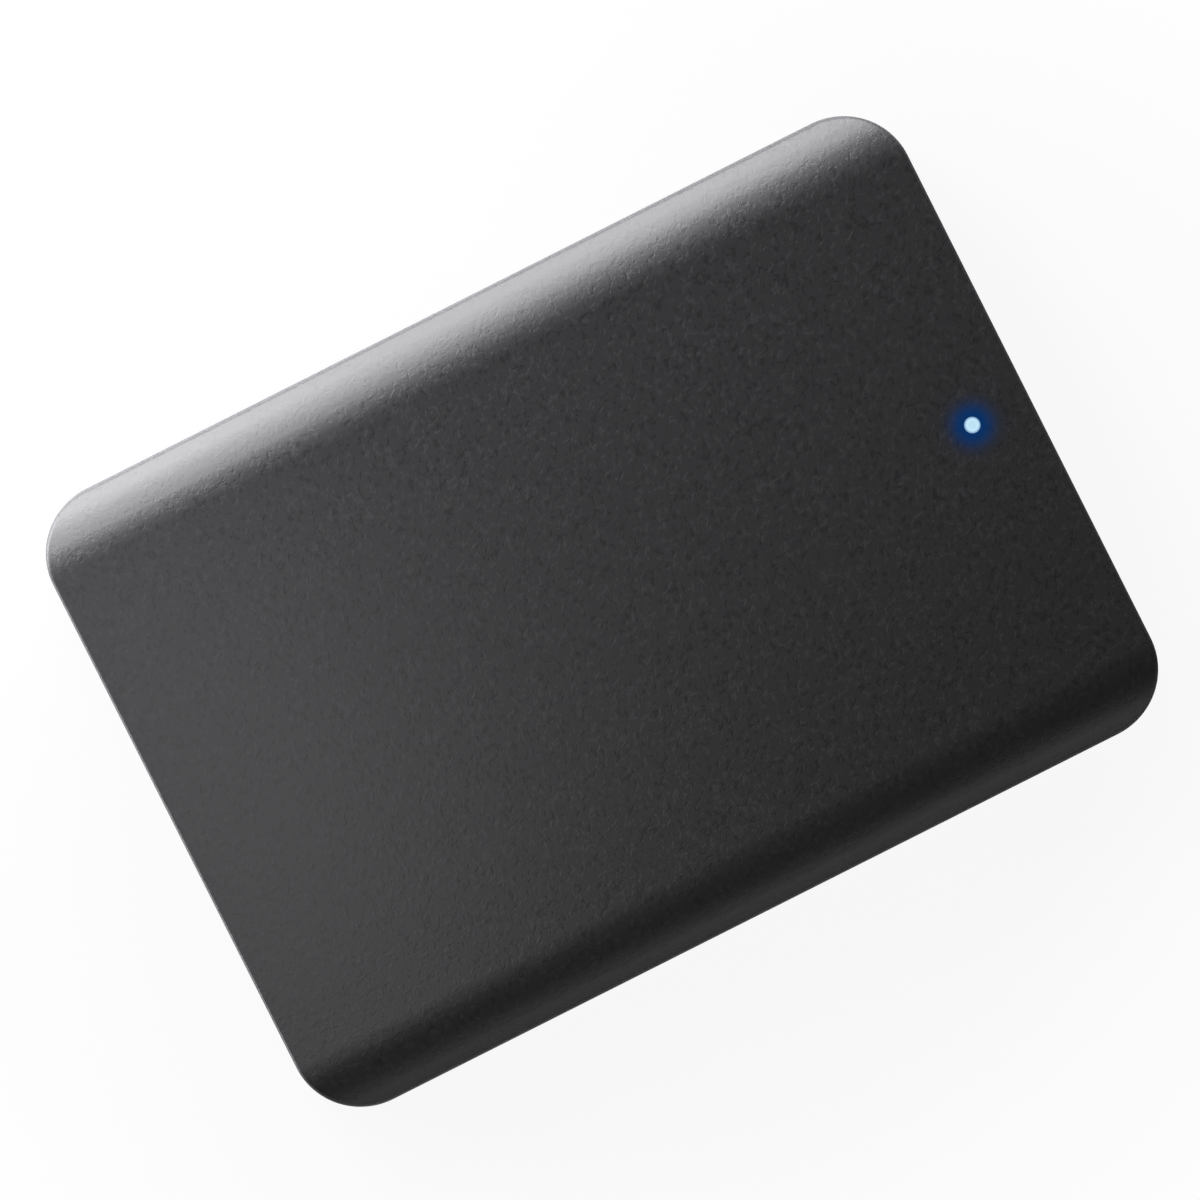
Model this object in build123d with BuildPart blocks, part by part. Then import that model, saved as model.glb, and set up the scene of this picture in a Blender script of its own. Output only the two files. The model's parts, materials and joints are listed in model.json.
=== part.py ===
from build123d import *
import math
import os

# Portable hard drive: a snap-together plastic case around a sealed drive with one disk.
# Millimetres. X runs along the length to the socket end, Z is up and the feet rest on Z = 0.

# Gaps between pieces
FIT = 0.05
RUN = 0.05
AIR_GAP = 0.3
SWEEP = 0.4

# Case
WALL = 1.5
TOP_SHOULDER_WIDTH = 8.2
BOTTOM_SHOULDER_WIDTH = 5.0
SHOULDER_ANGLE = 45.0
SHOULDER_OVERRUN = 10.0
BOTTOM_COVER_HEIGHT = 5.2
CORNER_RADIUS = 8.2
RIM_ROUND = 0.5
INNER_RIM_ROUND = 0.3
BAY_BACK = 1.0
PORT_ROOM = 4.65
BAY_BELOW = 1.3
BAY_ABOVE = 2.1
BAY_SIDE = 2.575
LIP_THICKNESS = 0.6
LIP_HEIGHT = 1.1
BEAD_LENGTH = 8.0
BEAD_HEIGHT = 0.5
BEAD_PROUD = 0.25
BEAD_PITCH = 30.0
BEADS = 3
FOOT_DIAMETER = 8.0
FOOT_THICKNESS = 1.0
FOOT_PROUD = 0.6
FOOT_EDGE = 0.2
FOOT_INSET_X = 12.5
FOOT_INSET_Y = 15.0
BUMPER_REACH = 9.0

# Status light
LENS_DIAMETER = 1.8
LENS_INSET = 7.25
PIPE_FLANGE = 3.6
PIPE_BAR_WIDTH = 1.8
PIPE_BAR_HEIGHT = 1.3
LIGHT_LENGTH = 1.6
LIGHT_WIDTH = 0.8
LIGHT_HEIGHT = 0.6
LIGHT_OFFSET = 9.5

# Base casting, lid and gasket
SIDE_WALL = 1.625
BACK_WALL = 1.7
FRONT_WALL = 2.0
DRIVE_CORNER = 3.0
BAY_CORNER = 4.0
ARM_BAY_WALL = 3.125
ARM_BAY_START = 12.0
BOARD_RECESS = 2.2
FLOOR = 0.6
GASKET_THICKNESS = 0.2
GASKET_WIDTH = 0.8
LID = 0.4
LID_CLEAR = 0.05
SIDE_HOLE = 2.5
SIDE_HOLE_DEPTH = 2.4
SIDE_HOLE_RISE = 3.0
SIDE_HOLES_FROM_FRONT = (14.0, 90.6)
SCREW_SHANK = 1.6
SCREW_HEAD = 2.6
SCREW_HEAD_HEIGHT = 0.4
SCREW_LENGTH = 3.2
SCREW_DRIVE = 1.0
SCREW_DRIVE_DEPTH = 0.25
DRIVE_SIDES = 6
LID_SCREW_INSET = 2.5
MID_SCREW_INSET = 1.56
MID_SCREW_X = 34.5
FILTER_LENGTH = 8.0
FILTER_WIDTH = 2.4
FILTER_HEIGHT = 3.0
FILTER_CORNER = 0.8
FILTER_AHEAD = 33.3

# Disk, hub and motor
PLATTER_DIAMETER = 65.0
PLATTER_BORE = 20.0
PLATTER_THICKNESS = 0.8
PLATTER_CHAMFER = 0.1
PLATTER_GAP = 0.8
HUB_LEDGE = 1.5
HUB_WEB = 0.7
SKIRT_WALL = 0.8
CLAMP_LEDGE = 1.0
CLAMP_THICKNESS = 0.6
CLAMP_HOLES = 6
CLAMP_HOLE = 2.0
CLAMP_HOLE_RING = 6.0
CLAMP_SCREW_SHANK = 2.0
CLAMP_SCREW_HEAD = 4.2
CLAMP_SCREW_HEAD_HEIGHT = 0.5
CLAMP_SCREW_DRIVE = 2.0
SHAFT_DIAMETER = 4.0
SLEEVE_WALL = 1.95
BOSS_WALL = 0.9
BOSS_SHOULDER = 0.6
WELL_FLOOR = 0.7
ROTOR_MAGNET_WALL = 0.9
POLES = 9
BACK_IRON = 1.0
CORE_THICKNESS = 1.0
TOOTH_WIDTH = 1.2
SHOE_DEPTH = 0.6
SHOE_SPREAD = 32.0
WINDING_BUILD = 0.3
WINDING_SIDE = 0.6
WINDING_END_GAP = 0.35

# Head arm and its drive
SPINDLE_TO_PIVOT = 42.0
PIVOT_DIRECTION = -9.73
ARM_LENGTH = 36.0
PARK_OFFSET = 2.5
INNER_TRACK = 15.0
ARM_THICKNESS = 0.45
ARM_ROOT = 10.0
ARM_TIP = 3.2
ARM_TIP_REACH = 24.0
ARM_WINDOW = 2.6
ARM_WINDOW_REACH = 14.0
BLOCK_RADIUS = 6.5
PIVOT_SHAFT_DIAMETER = 3.2
BEARING_WALL = 1.6
BEARING_HEIGHT = 1.1
PIVOT_SLEEVE_WALL = 0.8
SUSPENSION_THICKNESS = 0.15
SUSPENSION_START = 19.5
SUSPENSION_ROOT = 3.6
SUSPENSION_TIP = 1.0
LIFT_TAB = 2.0
SLIDER_LENGTH = 1.2
SLIDER_WIDTH = 1.0
SLIDER_HEIGHT = 0.3
HEAD_GAP = 0.15
COIL_THICKNESS = 1.1
COIL_GAP = 0.25
COIL_INNER = 11.5
COIL_OUTER = 19.3
COIL_SPREAD = 40.0
COIL_BAND = 2.4
COIL_WINDOW = 20.0
CARRIER_SPREAD = 50.0
CARRIER_ROOM = 1.0
CARRIER_FINGER_REACH = 17.0
YOKE_THICKNESS = 0.55
YOKE_INNER = 10.5
YOKE_OUTER = 21.3
YOKE_SPREAD = 106.0
YOKE_CLEAR = 0.654
YOKE_POST = 1.2
MAGNET_THICKNESS = 0.525
MAGNET_SPREAD = 76.0
STOP_DIAMETER = 2.0
STOP_REACH = 15.0
STOP_GAP = 0.3
RAMP_SPREAD = 11.0
RAMP_LEAD = 2.1
RAMP_FINGER = 0.7
RAMP_WALL = 1.6
RAMP_BASE = 0.4
RAMP_START = 0.8
RAMP_ROOM = 1.0
BRACKET_LENGTH = 8.0
BRACKET_WIDTH = 4.0
BRACKET_HEIGHT = 2.8
BRACKET_CORNER = 0.8
BRACKET_AHEAD = 15.0
BRACKET_ACROSS = 20.0
HEAD_CONNECTOR_LENGTH = 6.0
HEAD_CONNECTOR_WIDTH = 2.6
FLEX_THICKNESS = 0.12
FLEX_HEIGHT = 2.2
FLEX_ANGLE = 40.0
FLEX_BEND = 4.0

# Controller board
BOARD_THICKNESS = 0.8
BOARD_LIFT = 0.4
BOARD_BACK = 17.0
BOARD_SIDE_GAP = 4.0
BOARD_EDGE_GAP = 0.4
BOARD_CORNER = 1.5
TAB_WIDTH = 27.0
TAB_LENGTH = 2.6
BOARD_SCREW_INSET = 4.0
BOARD_BOSS = 4.4
CHIP_HEIGHT = 0.8
CHIP_BEVEL = 0.1
CONTROLLER_SIDE = 12.0
CACHE_LENGTH = 7.0
CACHE_WIDTH = 10.0
MOTOR_DRIVER_SIDE = 7.0
FIRMWARE_LENGTH = 6.0
FIRMWARE_WIDTH = 5.0
CRYSTAL_LENGTH = 3.2
CRYSTAL_WIDTH = 2.5
INDUCTOR_SIDE = 4.0
INDUCTOR_PITCH = 5.5
INDUCTOR_CORNER = 1.0
CAPACITOR_LENGTH = 1.0
CAPACITOR_WIDTH = 0.5
CAPACITOR_HEIGHT = 0.5
CAPACITOR_PITCH = 1.5
CAPACITOR_COUNT = 6
# Places of the parts on the board, measured from its back edge and its middle
CONTROLLER_AT = (22.0, 6.0)
CACHE_AT = (8.5, 8.0)
MOTOR_DRIVER_AT = (10.0, -12.0)
FIRMWARE_AT = (34.0, -10.0)
CRYSTAL_AT = (26.0, -6.0)
INDUCTORS_AT = (37.0, -22.0)
CAPACITORS_AT = (22.0, -13.0)

# Socket
SOCKET_WIDTH = 12.3
SOCKET_HEIGHT = 2.4
SOCKET_DEPTH = 6.2
SOCKET_SHEET = 0.25
SOCKET_RECESS = 1.0
SOCKET_LOBE = 7.2
SOCKET_NOTCH = 0.8
SOCKET_NOTCH_DEPTH = 0.7
SOCKET_CHAMFER = 0.6
SOCKET_CLEAR = 0.3
SLOT_CORNER = 0.6
TONGUE_THICKNESS = 0.6
TONGUE_SIDE_GAP = 0.7
TONGUE_SETBACK = 0.7
TONGUE_BLOCK = 1.4
CONTACT_WIDTH = 0.3
CONTACT_THICKNESS = 0.08
CONTACT_COUNT = 5

# Heights, from the feet upwards
case_bottom = FOOT_PROUD
bay_floor = case_bottom + WALL
drive_bottom = bay_floor + BAY_BELOW
board_bottom = drive_bottom + BOARD_LIFT
board_top = board_bottom + BOARD_THICKNESS
recess_top = drive_bottom + BOARD_RECESS
floor_top = recess_top + FLOOR
lower_magnet_z = floor_top + YOKE_THICKNESS
coil_bottom = lower_magnet_z + MAGNET_THICKNESS + COIL_GAP
coil_top = coil_bottom + COIL_THICKNESS
upper_magnet_z = coil_top + COIL_GAP
upper_yoke_z = upper_magnet_z + MAGNET_THICKNESS
lid_bottom = upper_yoke_z + YOKE_THICKNESS + LID_CLEAR
lid_top = lid_bottom + LID
casting_top = lid_bottom - GASKET_THICKNESS
bay_top = lid_top + BAY_ABOVE
height = bay_top + WALL
parting_z = case_bottom + BOTTOM_COVER_HEIGHT
shoulder_lean = math.sin(math.radians(SHOULDER_ANGLE))
top_shoulder_radius = TOP_SHOULDER_WIDTH / shoulder_lean
bottom_shoulder_radius = BOTTOM_SHOULDER_WIDTH / shoulder_lean

# Disk stack, about the same middle plane as the coil
disk_mid = (coil_bottom + coil_top) / 2
platter_bottom = disk_mid - PLATTER_THICKNESS / 2
platter_top = disk_mid + PLATTER_THICKNESS / 2
upper_slider_z = platter_top + HEAD_GAP
upper_suspension_z = upper_slider_z + SLIDER_HEIGHT
upper_arm_z = upper_suspension_z + SUSPENSION_THICKNESS
lower_slider_z = platter_bottom - HEAD_GAP - SLIDER_HEIGHT
lower_suspension_z = lower_slider_z - SUSPENSION_THICKNESS
lower_arm_z = lower_suspension_z - ARM_THICKNESS
block_top = upper_arm_z + ARM_THICKNESS
web_bottom = platter_bottom - HUB_WEB
well_floor = drive_bottom + WELL_FLOOR
skirt_bottom = well_floor + SWEEP
sleeve_top = web_bottom - AIR_GAP
core_bottom = (well_floor + web_bottom - CORE_THICKNESS) / 2

# Lengths and widths
platter_radius = PLATTER_DIAMETER / 2
disk_bay_radius = platter_radius + PLATTER_GAP
drive_width = 2 * (disk_bay_radius + SIDE_WALL)
pivot_ahead = SPINDLE_TO_PIVOT * math.cos(math.radians(PIVOT_DIRECTION))
arm_bay_ahead = pivot_ahead + YOKE_OUTER + YOKE_CLEAR
drive_length = BACK_WALL + disk_bay_radius + arm_bay_ahead + FRONT_WALL
length = drive_length + BAY_BACK + PORT_ROOM + 2 * WALL
half_width = drive_width / 2 + BAY_SIDE + WALL
width = 2 * half_width
drive_back = BAY_BACK + WALL - length / 2
drive_front = drive_back + drive_length
drive_mid_x = (drive_back + drive_front) / 2
spindle_x = drive_back + BACK_WALL + disk_bay_radius
pivot_x = spindle_x + pivot_ahead
pivot_y = SPINDLE_TO_PIVOT * math.sin(math.radians(PIVOT_DIRECTION))
arm_bay_back = spindle_x + ARM_BAY_START
arm_bay_front = spindle_x + arm_bay_ahead
arm_bay_width = drive_width - 2 * ARM_BAY_WALL
lens_x = length / 2 - LENS_INSET

# Motor radii, from the platter's bore inwards and from the shaft outwards
hub_radius = PLATTER_BORE / 2 - FIT
skirt_radius = PLATTER_BORE / 2 + HUB_LEDGE
rotor_magnet_radius = skirt_radius - SKIRT_WALL
stator_radius = rotor_magnet_radius - ROTOR_MAGNET_WALL - AIR_GAP
well_radius = skirt_radius + SWEEP
sleeve_bore = SHAFT_DIAMETER / 2 + RUN
sleeve_radius = sleeve_bore + SLEEVE_WALL
boss_radius = sleeve_radius + FIT + BOSS_WALL
core_bore = boss_radius + FIT
tooth_root = core_bore + BACK_IRON
shoe_radius = stator_radius - SHOE_DEPTH
winding_length = shoe_radius - tooth_root - 2 * WINDING_END_GAP
winding_middle = (shoe_radius + tooth_root) / 2

# Head arm directions, seen from the pivot in degrees about +Z
to_spindle = 180 + PIVOT_DIRECTION
head_park_radius = platter_radius + PARK_OFFSET


def arm_direction(head_radius):
    """Direction of the arm that puts its head at a radius from the spindle."""
    opposite = SPINDLE_TO_PIVOT**2 + ARM_LENGTH**2 - head_radius**2
    return to_spindle - math.degrees(math.acos(opposite / (2 * SPINDLE_TO_PIVOT * ARM_LENGTH)))


park_direction = arm_direction(head_park_radius)
swing = arm_direction(INNER_TRACK) - park_direction
coil_direction = park_direction + 180
yoke_direction = coil_direction + swing / 2
lift_tab_reach = ARM_LENGTH + LIFT_TAB
ramp_direction = park_direction - RAMP_LEAD
ramp_inner = ARM_LENGTH + RAMP_START
ramp_wall = lift_tab_reach + RAMP_START
ramp_outer = ramp_wall + RAMP_WALL
pivot_bearing_radius = PIVOT_SHAFT_DIAMETER / 2 + RUN + BEARING_WALL
pivot_sleeve_radius = pivot_bearing_radius + FIT + PIVOT_SLEEVE_WALL


def arm_plane(z):
    """Plane at a height with its origin at the pivot and its X along the parked arm."""
    angle = math.radians(park_direction)
    return Plane(origin=(pivot_x, pivot_y, z), x_dir=(math.cos(angle), math.sin(angle), 0), z_dir=(0, 0, 1))


def pivot_plane(z):
    """Plane at a height with its origin at the pivot and its X along the part's X."""
    return Plane(origin=(pivot_x, pivot_y, z), z_dir=(0, 0, 1))


def spindle_plane(z):
    """Plane at a height with its origin on the spindle."""
    return Plane(origin=(spindle_x, 0, z), z_dir=(0, 0, 1))


def polar(radius, direction):
    """Point at a radius and a direction in degrees."""
    angle = math.radians(direction)
    return (radius * math.cos(angle), radius * math.sin(angle))


def sector(inner_radius, outer_radius, direction, spread):
    """Ring sector about the origin, spread degrees wide about its middle direction."""
    start = direction - spread / 2
    with BuildSketch() as shape:
        with BuildLine():
            outer = CenterArc((0, 0), outer_radius, start, spread)
            inner = CenterArc((0, 0), inner_radius, start, spread)
            Line(outer @ 0, inner @ 0)
            Line(outer @ 1, inner @ 1)
        make_face()
    return shape.sketch


def tapered_plate(start, root_width, end, tip_width):
    """Plate along X from start to end whose width runs from root to tip."""
    with BuildSketch() as shape:
        with BuildLine():
            Polyline(
                (start, root_width / 2),
                (end, tip_width / 2),
                (end, -tip_width / 2),
                (start, -root_width / 2),
                close=True,
            )
        make_face()
    return shape.sketch


def case_envelope(inset, rim_round):
    """Case form drawn in by inset: the shouldered profile run along the length, kept inside the plan."""
    top = height - inset
    bottom = case_bottom + inset
    side = half_width - inset
    upper_radius = top_shoulder_radius - inset
    lower_radius = bottom_shoulder_radius - inset
    upper_y = half_width - TOP_SHOULDER_WIDTH
    lower_y = half_width - BOTTOM_SHOULDER_WIDTH
    # The shoulders run on past the plan, which cuts them to their angle
    turn = SHOULDER_ANGLE + SHOULDER_OVERRUN
    with BuildPart() as envelope:
        with BuildSketch(Plane.YZ.offset(inset - length / 2)):
            with BuildLine():
                right_upper = CenterArc((upper_y, top - upper_radius), upper_radius, 90, -turn)
                right_lower = CenterArc((lower_y, bottom + lower_radius), lower_radius, -90, turn)
                left_lower = CenterArc((-lower_y, bottom + lower_radius), lower_radius, -90, -turn)
                left_upper = CenterArc((-upper_y, top - upper_radius), upper_radius, 90, turn)
                Line(left_upper @ 0, right_upper @ 0)
                Line(right_upper @ 1, right_lower @ 1)
                Line(right_lower @ 0, left_lower @ 0)
                Line(left_lower @ 1, left_upper @ 1)
            make_face()
        extrude(amount=length - 2 * inset)
        with BuildSketch(Plane.XY.offset(bottom)):
            RectangleRounded(length - 2 * inset, 2 * side, CORNER_RADIUS - inset)
        extrude(amount=top - bottom, mode=Mode.INTERSECT)
        # Rims, where the walls meet the top and the bottom, without the lines where the shoulders start
        level_edges = envelope.edges().filter_by(Axis.Z, reverse=True)
        starts = level_edges.filter_by(Axis.X).filter_by(lambda edge: abs(edge.center().Y) < side - FIT)
        fillet([edge for edge in level_edges if edge not in starts], radius=rim_round)
    return envelope.part


case_form = case_envelope(0, RIM_ROUND)
bay_form = case_envelope(WALL, INNER_RIM_ROUND)
bumper_form = case_envelope(WALL + FIT, INNER_RIM_ROUND)

# Where the socket stands: its mouth lies back from the case's end
socket_mouth = length / 2 - SOCKET_RECESS
socket_back = socket_mouth - SOCKET_DEPTH
lobe_end = SOCKET_LOBE - SOCKET_WIDTH / 2
socket_mid_z = board_top + SOCKET_HEIGHT / 2
slot_width = SOCKET_WIDTH + 2 * SOCKET_CLEAR
slot_height = SOCKET_HEIGHT + 2 * SOCKET_CLEAR


def socket_outline():
    """Mouth of the socket on the board, a chamfered lobe beside a square one."""
    side = SOCKET_WIDTH / 2
    low = board_top
    high = board_top + SOCKET_HEIGHT
    shoulder = high - SOCKET_CHAMFER
    notch = high - SOCKET_NOTCH_DEPTH
    with BuildSketch() as shape:
        with BuildLine():
            Polyline(
                (-side, low),
                (side, low),
                (side, high),
                (lobe_end + SOCKET_NOTCH, high),
                (lobe_end + SOCKET_NOTCH, notch),
                (lobe_end, notch),
                (lobe_end, shoulder),
                (lobe_end - SOCKET_CHAMFER, high),
                (SOCKET_CHAMFER - side, high),
                (-side, shoulder),
                close=True,
            )
        make_face()
    return shape.sketch


# Case covers
lip_inset = WALL - LIP_THICKNESS
rebate_inset = lip_inset - FIT
bead_z = parting_z + LIP_HEIGHT - BEAD_HEIGHT
bead_side = half_width - lip_inset

with BuildPart() as top_cover:
    add(case_form)
    add(bay_form, mode=Mode.SUBTRACT)
    split(bisect_by=Plane.XY.offset(parting_z), keep=Keep.TOP)
    # Rebate around the inner edge that takes the lip, with pockets for the snap beads
    with BuildSketch(Plane.XY.offset(parting_z)):
        RectangleRounded(length - 2 * rebate_inset, width - 2 * rebate_inset, CORNER_RADIUS - rebate_inset)
    extrude(amount=LIP_HEIGHT + FIT, mode=Mode.SUBTRACT)
    with BuildSketch(Plane.XY.offset(bead_z - FIT)):
        with GridLocations(BEAD_PITCH, 2 * bead_side, BEADS, 2):
            Rectangle(BEAD_LENGTH + 2 * FIT, 2 * (BEAD_PROUD + FIT))
    extrude(amount=BEAD_HEIGHT + 2 * FIT, mode=Mode.SUBTRACT)
    # Hole of the status light
    with BuildSketch(Plane.XY.offset(bay_top)):
        with Locations((lens_x, 0)):
            Circle(LENS_DIAMETER / 2 + FIT)
    extrude(amount=WALL, mode=Mode.SUBTRACT)
    # Upper part of the socket's slot
    with BuildSketch(Plane.YZ.offset(length / 2)):
        with Locations((0, socket_mid_z)):
            RectangleRounded(slot_width, slot_height, SLOT_CORNER)
    extrude(amount=-2 * WALL, mode=Mode.SUBTRACT)

with BuildPart() as bottom_cover:
    add(case_form)
    add(bay_form, mode=Mode.SUBTRACT)
    split(bisect_by=Plane.XY.offset(parting_z), keep=Keep.BOTTOM)
    with BuildSketch(Plane.XY.offset(parting_z)):
        RectangleRounded(length - 2 * lip_inset, width - 2 * lip_inset, CORNER_RADIUS - lip_inset)
        RectangleRounded(length - 2 * WALL, width - 2 * WALL, CORNER_RADIUS - WALL, mode=Mode.SUBTRACT)
    extrude(amount=LIP_HEIGHT)
    with BuildSketch(Plane.XY.offset(bead_z)):
        with GridLocations(BEAD_PITCH, 2 * bead_side, BEADS, 2):
            Rectangle(BEAD_LENGTH, 2 * BEAD_PROUD)
    extrude(amount=BEAD_HEIGHT)
    # Lower part of the socket's slot
    with BuildSketch(Plane.YZ.offset(length / 2)):
        with Locations((0, socket_mid_z)):
            RectangleRounded(slot_width, slot_height, SLOT_CORNER)
    extrude(amount=-2 * WALL, mode=Mode.SUBTRACT)
    # Seats of the feet
    with BuildSketch(Plane.XY.offset(case_bottom)):
        with GridLocations(length - 2 * FOOT_INSET_X, width - 2 * FOOT_INSET_Y, 2, 2):
            Circle(FOOT_DIAMETER / 2 + FIT)
    extrude(amount=FOOT_THICKNESS - FOOT_PROUD, mode=Mode.SUBTRACT)

with BuildPart() as rubber_feet:
    with BuildSketch():
        with GridLocations(length - 2 * FOOT_INSET_X, width - 2 * FOOT_INSET_Y, 2, 2):
            Circle(FOOT_DIAMETER / 2)
    extrude(amount=FOOT_THICKNESS)
    chamfer(rubber_feet.edges().group_by(Axis.Z)[0], length=FOOT_EDGE)

# Fasteners' places on the drive
corner_screw_y = drive_width / 2 - LID_SCREW_INSET
mid_screw_y = drive_width / 2 - MID_SCREW_INSET
lid_screw_spots = [
    (drive_back + LID_SCREW_INSET, corner_screw_y),
    (drive_back + LID_SCREW_INSET, -corner_screw_y),
    (spindle_x + MID_SCREW_X, mid_screw_y),
    (spindle_x + MID_SCREW_X, -mid_screw_y),
    (drive_front - LID_SCREW_INSET, corner_screw_y),
    (drive_front - LID_SCREW_INSET, -corner_screw_y),
]

with BuildPart() as corner_bumpers:
    add(bumper_form)
    # Keep the four corners only
    with BuildSketch(Plane.XY.offset(case_bottom)):
        with Locations((drive_mid_x, 0)):
            Rectangle(drive_length - 2 * BUMPER_REACH, width)
        Rectangle(length, drive_width - 2 * BUMPER_REACH)
    extrude(amount=height, mode=Mode.SUBTRACT)
    # Room for the drive and its screw heads
    with BuildSketch(Plane.XY.offset(drive_bottom - FIT)):
        with Locations((drive_mid_x, 0)):
            RectangleRounded(drive_length + 2 * FIT, drive_width + 2 * FIT, DRIVE_CORNER + FIT)
    extrude(amount=lid_top - drive_bottom + 2 * FIT, mode=Mode.SUBTRACT)
    with BuildSketch(Plane.XY.offset(lid_top)):
        with Locations(*lid_screw_spots):
            Circle(SCREW_HEAD / 2 + SWEEP)
    extrude(amount=SCREW_HEAD_HEIGHT + SWEEP, mode=Mode.SUBTRACT)

# Sealed drive: casting, lid, gasket and screws
board_half = drive_width / 2 - BOARD_SIDE_GAP
board_back = spindle_x + BOARD_BACK
board_front = drive_front - BOARD_EDGE_GAP
board_screw_y = board_half - BOARD_SCREW_INSET
board_screw_spots = [
    (board_back + BOARD_SCREW_INSET, board_screw_y),
    (board_back + BOARD_SCREW_INSET, -board_screw_y),
    (board_front - BOARD_SCREW_INSET, board_screw_y),
    (board_front - BOARD_SCREW_INSET, -board_screw_y),
]
bracket_x = pivot_x + BRACKET_AHEAD
bracket_y = pivot_y + BRACKET_ACROSS
head_connector_at = (bracket_x, bracket_y)


def inner_bay():
    """Plan of the clean space inside the casting: a round for the disk, a bay for the arm, room for the ramp."""
    bay_length = arm_bay_front - arm_bay_back
    with BuildSketch() as shape:
        with Locations((spindle_x, 0)):
            Circle(disk_bay_radius)
        with Locations(((arm_bay_back + arm_bay_front) / 2, 0)):
            RectangleRounded(bay_length, arm_bay_width, BAY_CORNER)
        with Locations((pivot_x, pivot_y)):
            add(sector(ramp_inner, ramp_outer + SWEEP, ramp_direction, RAMP_SPREAD + RAMP_ROOM))
    return shape.sketch


with BuildPart() as base_casting:
    with BuildSketch(Plane.XY.offset(drive_bottom)):
        with Locations((drive_mid_x, 0)):
            RectangleRounded(drive_length, drive_width, DRIVE_CORNER)
    extrude(amount=casting_top - drive_bottom)
    with BuildSketch(Plane.XY.offset(floor_top)):
        add(inner_bay())
    extrude(amount=casting_top - floor_top, mode=Mode.SUBTRACT)
    # Motor well with the boss that holds the sleeve and the stator
    with BuildSketch(spindle_plane(well_floor)):
        Circle(well_radius)
    extrude(amount=floor_top - well_floor, mode=Mode.SUBTRACT)
    with BuildSketch(spindle_plane(well_floor)):
        Circle(boss_radius)
        Circle(sleeve_radius + FIT, mode=Mode.SUBTRACT)
    extrude(amount=core_bottom + CORE_THICKNESS - well_floor)
    with BuildSketch(spindle_plane(well_floor)):
        Circle(boss_radius + BOSS_SHOULDER)
        Circle(sleeve_radius + FIT, mode=Mode.SUBTRACT)
    extrude(amount=core_bottom - well_floor)
    # Recess of the controller board, open at the socket end, with bosses for its screws
    with BuildSketch(Plane.XY.offset(drive_bottom)):
        with Locations(((board_back - BOARD_EDGE_GAP + drive_front) / 2, 0)):
            Rectangle(drive_front - board_back + BOARD_EDGE_GAP, 2 * (board_half + BOARD_EDGE_GAP))
    extrude(amount=recess_top - drive_bottom, mode=Mode.SUBTRACT)
    with BuildSketch(Plane.XY.offset(board_top)):
        with Locations(*board_screw_spots):
            Circle(BOARD_BOSS / 2)
    extrude(amount=recess_top - board_top)
    # Notch for the socket's back
    with BuildSketch(Plane.XY.offset(drive_bottom)):
        with Locations((drive_front, 0)):
            Rectangle(2 * (drive_front - socket_back + SOCKET_CLEAR), SOCKET_WIDTH + 2 * SOCKET_CLEAR)
    extrude(amount=board_top + SOCKET_HEIGHT + SOCKET_CLEAR - drive_bottom, mode=Mode.SUBTRACT)
    # Way through the floor for the head connector
    with BuildSketch(Plane.XY.offset(recess_top)):
        with Locations(head_connector_at):
            Rectangle(HEAD_CONNECTOR_LENGTH + 2 * FIT, HEAD_CONNECTOR_WIDTH + 2 * FIT)
    extrude(amount=FLOOR, mode=Mode.SUBTRACT)
    # Screw holes from above and from below
    with BuildSketch(Plane.XY.offset(casting_top)):
        with Locations(*lid_screw_spots):
            Circle(SCREW_SHANK / 2 + FIT)
    extrude(amount=-SCREW_LENGTH, mode=Mode.SUBTRACT)
    with BuildSketch(Plane.XY.offset(board_top)):
        with Locations(*board_screw_spots):
            Circle(SCREW_SHANK / 2 + FIT)
    extrude(amount=recess_top - board_top, mode=Mode.SUBTRACT)
    # Mounting holes in the long sides
    for side in (1, -1):
        with BuildSketch(Plane.XZ.offset(side * drive_width / 2)):
            for from_front in SIDE_HOLES_FROM_FRONT:
                with Locations((drive_front - from_front, drive_bottom + SIDE_HOLE_RISE)):
                    Circle(SIDE_HOLE / 2)
        extrude(amount=-side * SIDE_HOLE_DEPTH, mode=Mode.SUBTRACT)

with BuildPart() as lid_gasket:
    with BuildSketch(Plane.XY.offset(casting_top)):
        add(inner_bay())
        offset(amount=GASKET_WIDTH, kind=Kind.INTERSECTION)
        add(inner_bay(), mode=Mode.SUBTRACT)
    extrude(amount=GASKET_THICKNESS)
    with BuildSketch(Plane.XY.offset(casting_top)):
        with Locations(*lid_screw_spots):
            Circle(SCREW_SHANK / 2 + FIT)
    extrude(amount=GASKET_THICKNESS, mode=Mode.SUBTRACT)

with BuildPart() as drive_lid:
    with BuildSketch(Plane.XY.offset(lid_bottom)):
        with Locations((drive_mid_x, 0)):
            RectangleRounded(drive_length, drive_width, DRIVE_CORNER)
        with Locations(*lid_screw_spots):
            Circle(SCREW_SHANK / 2 + FIT, mode=Mode.SUBTRACT)
    extrude(amount=LID)

with BuildPart() as lid_screws:
    with BuildSketch(Plane.XY.offset(lid_top)):
        with Locations(*lid_screw_spots):
            Circle(SCREW_HEAD / 2)
    extrude(amount=SCREW_HEAD_HEIGHT)
    with BuildSketch(Plane.XY.offset(lid_top)):
        with Locations(*lid_screw_spots):
            Circle(SCREW_SHANK / 2)
    extrude(amount=casting_top - lid_top - SCREW_LENGTH + FIT)
    with BuildSketch(Plane.XY.offset(lid_top + SCREW_HEAD_HEIGHT)):
        with Locations(*lid_screw_spots):
            RegularPolygon(SCREW_DRIVE / 2, DRIVE_SIDES)
    extrude(amount=-SCREW_DRIVE_DEPTH, mode=Mode.SUBTRACT)

filter_x = spindle_x + FILTER_AHEAD
filter_y = FILTER_WIDTH / 2 + FIT - arm_bay_width / 2

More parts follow.
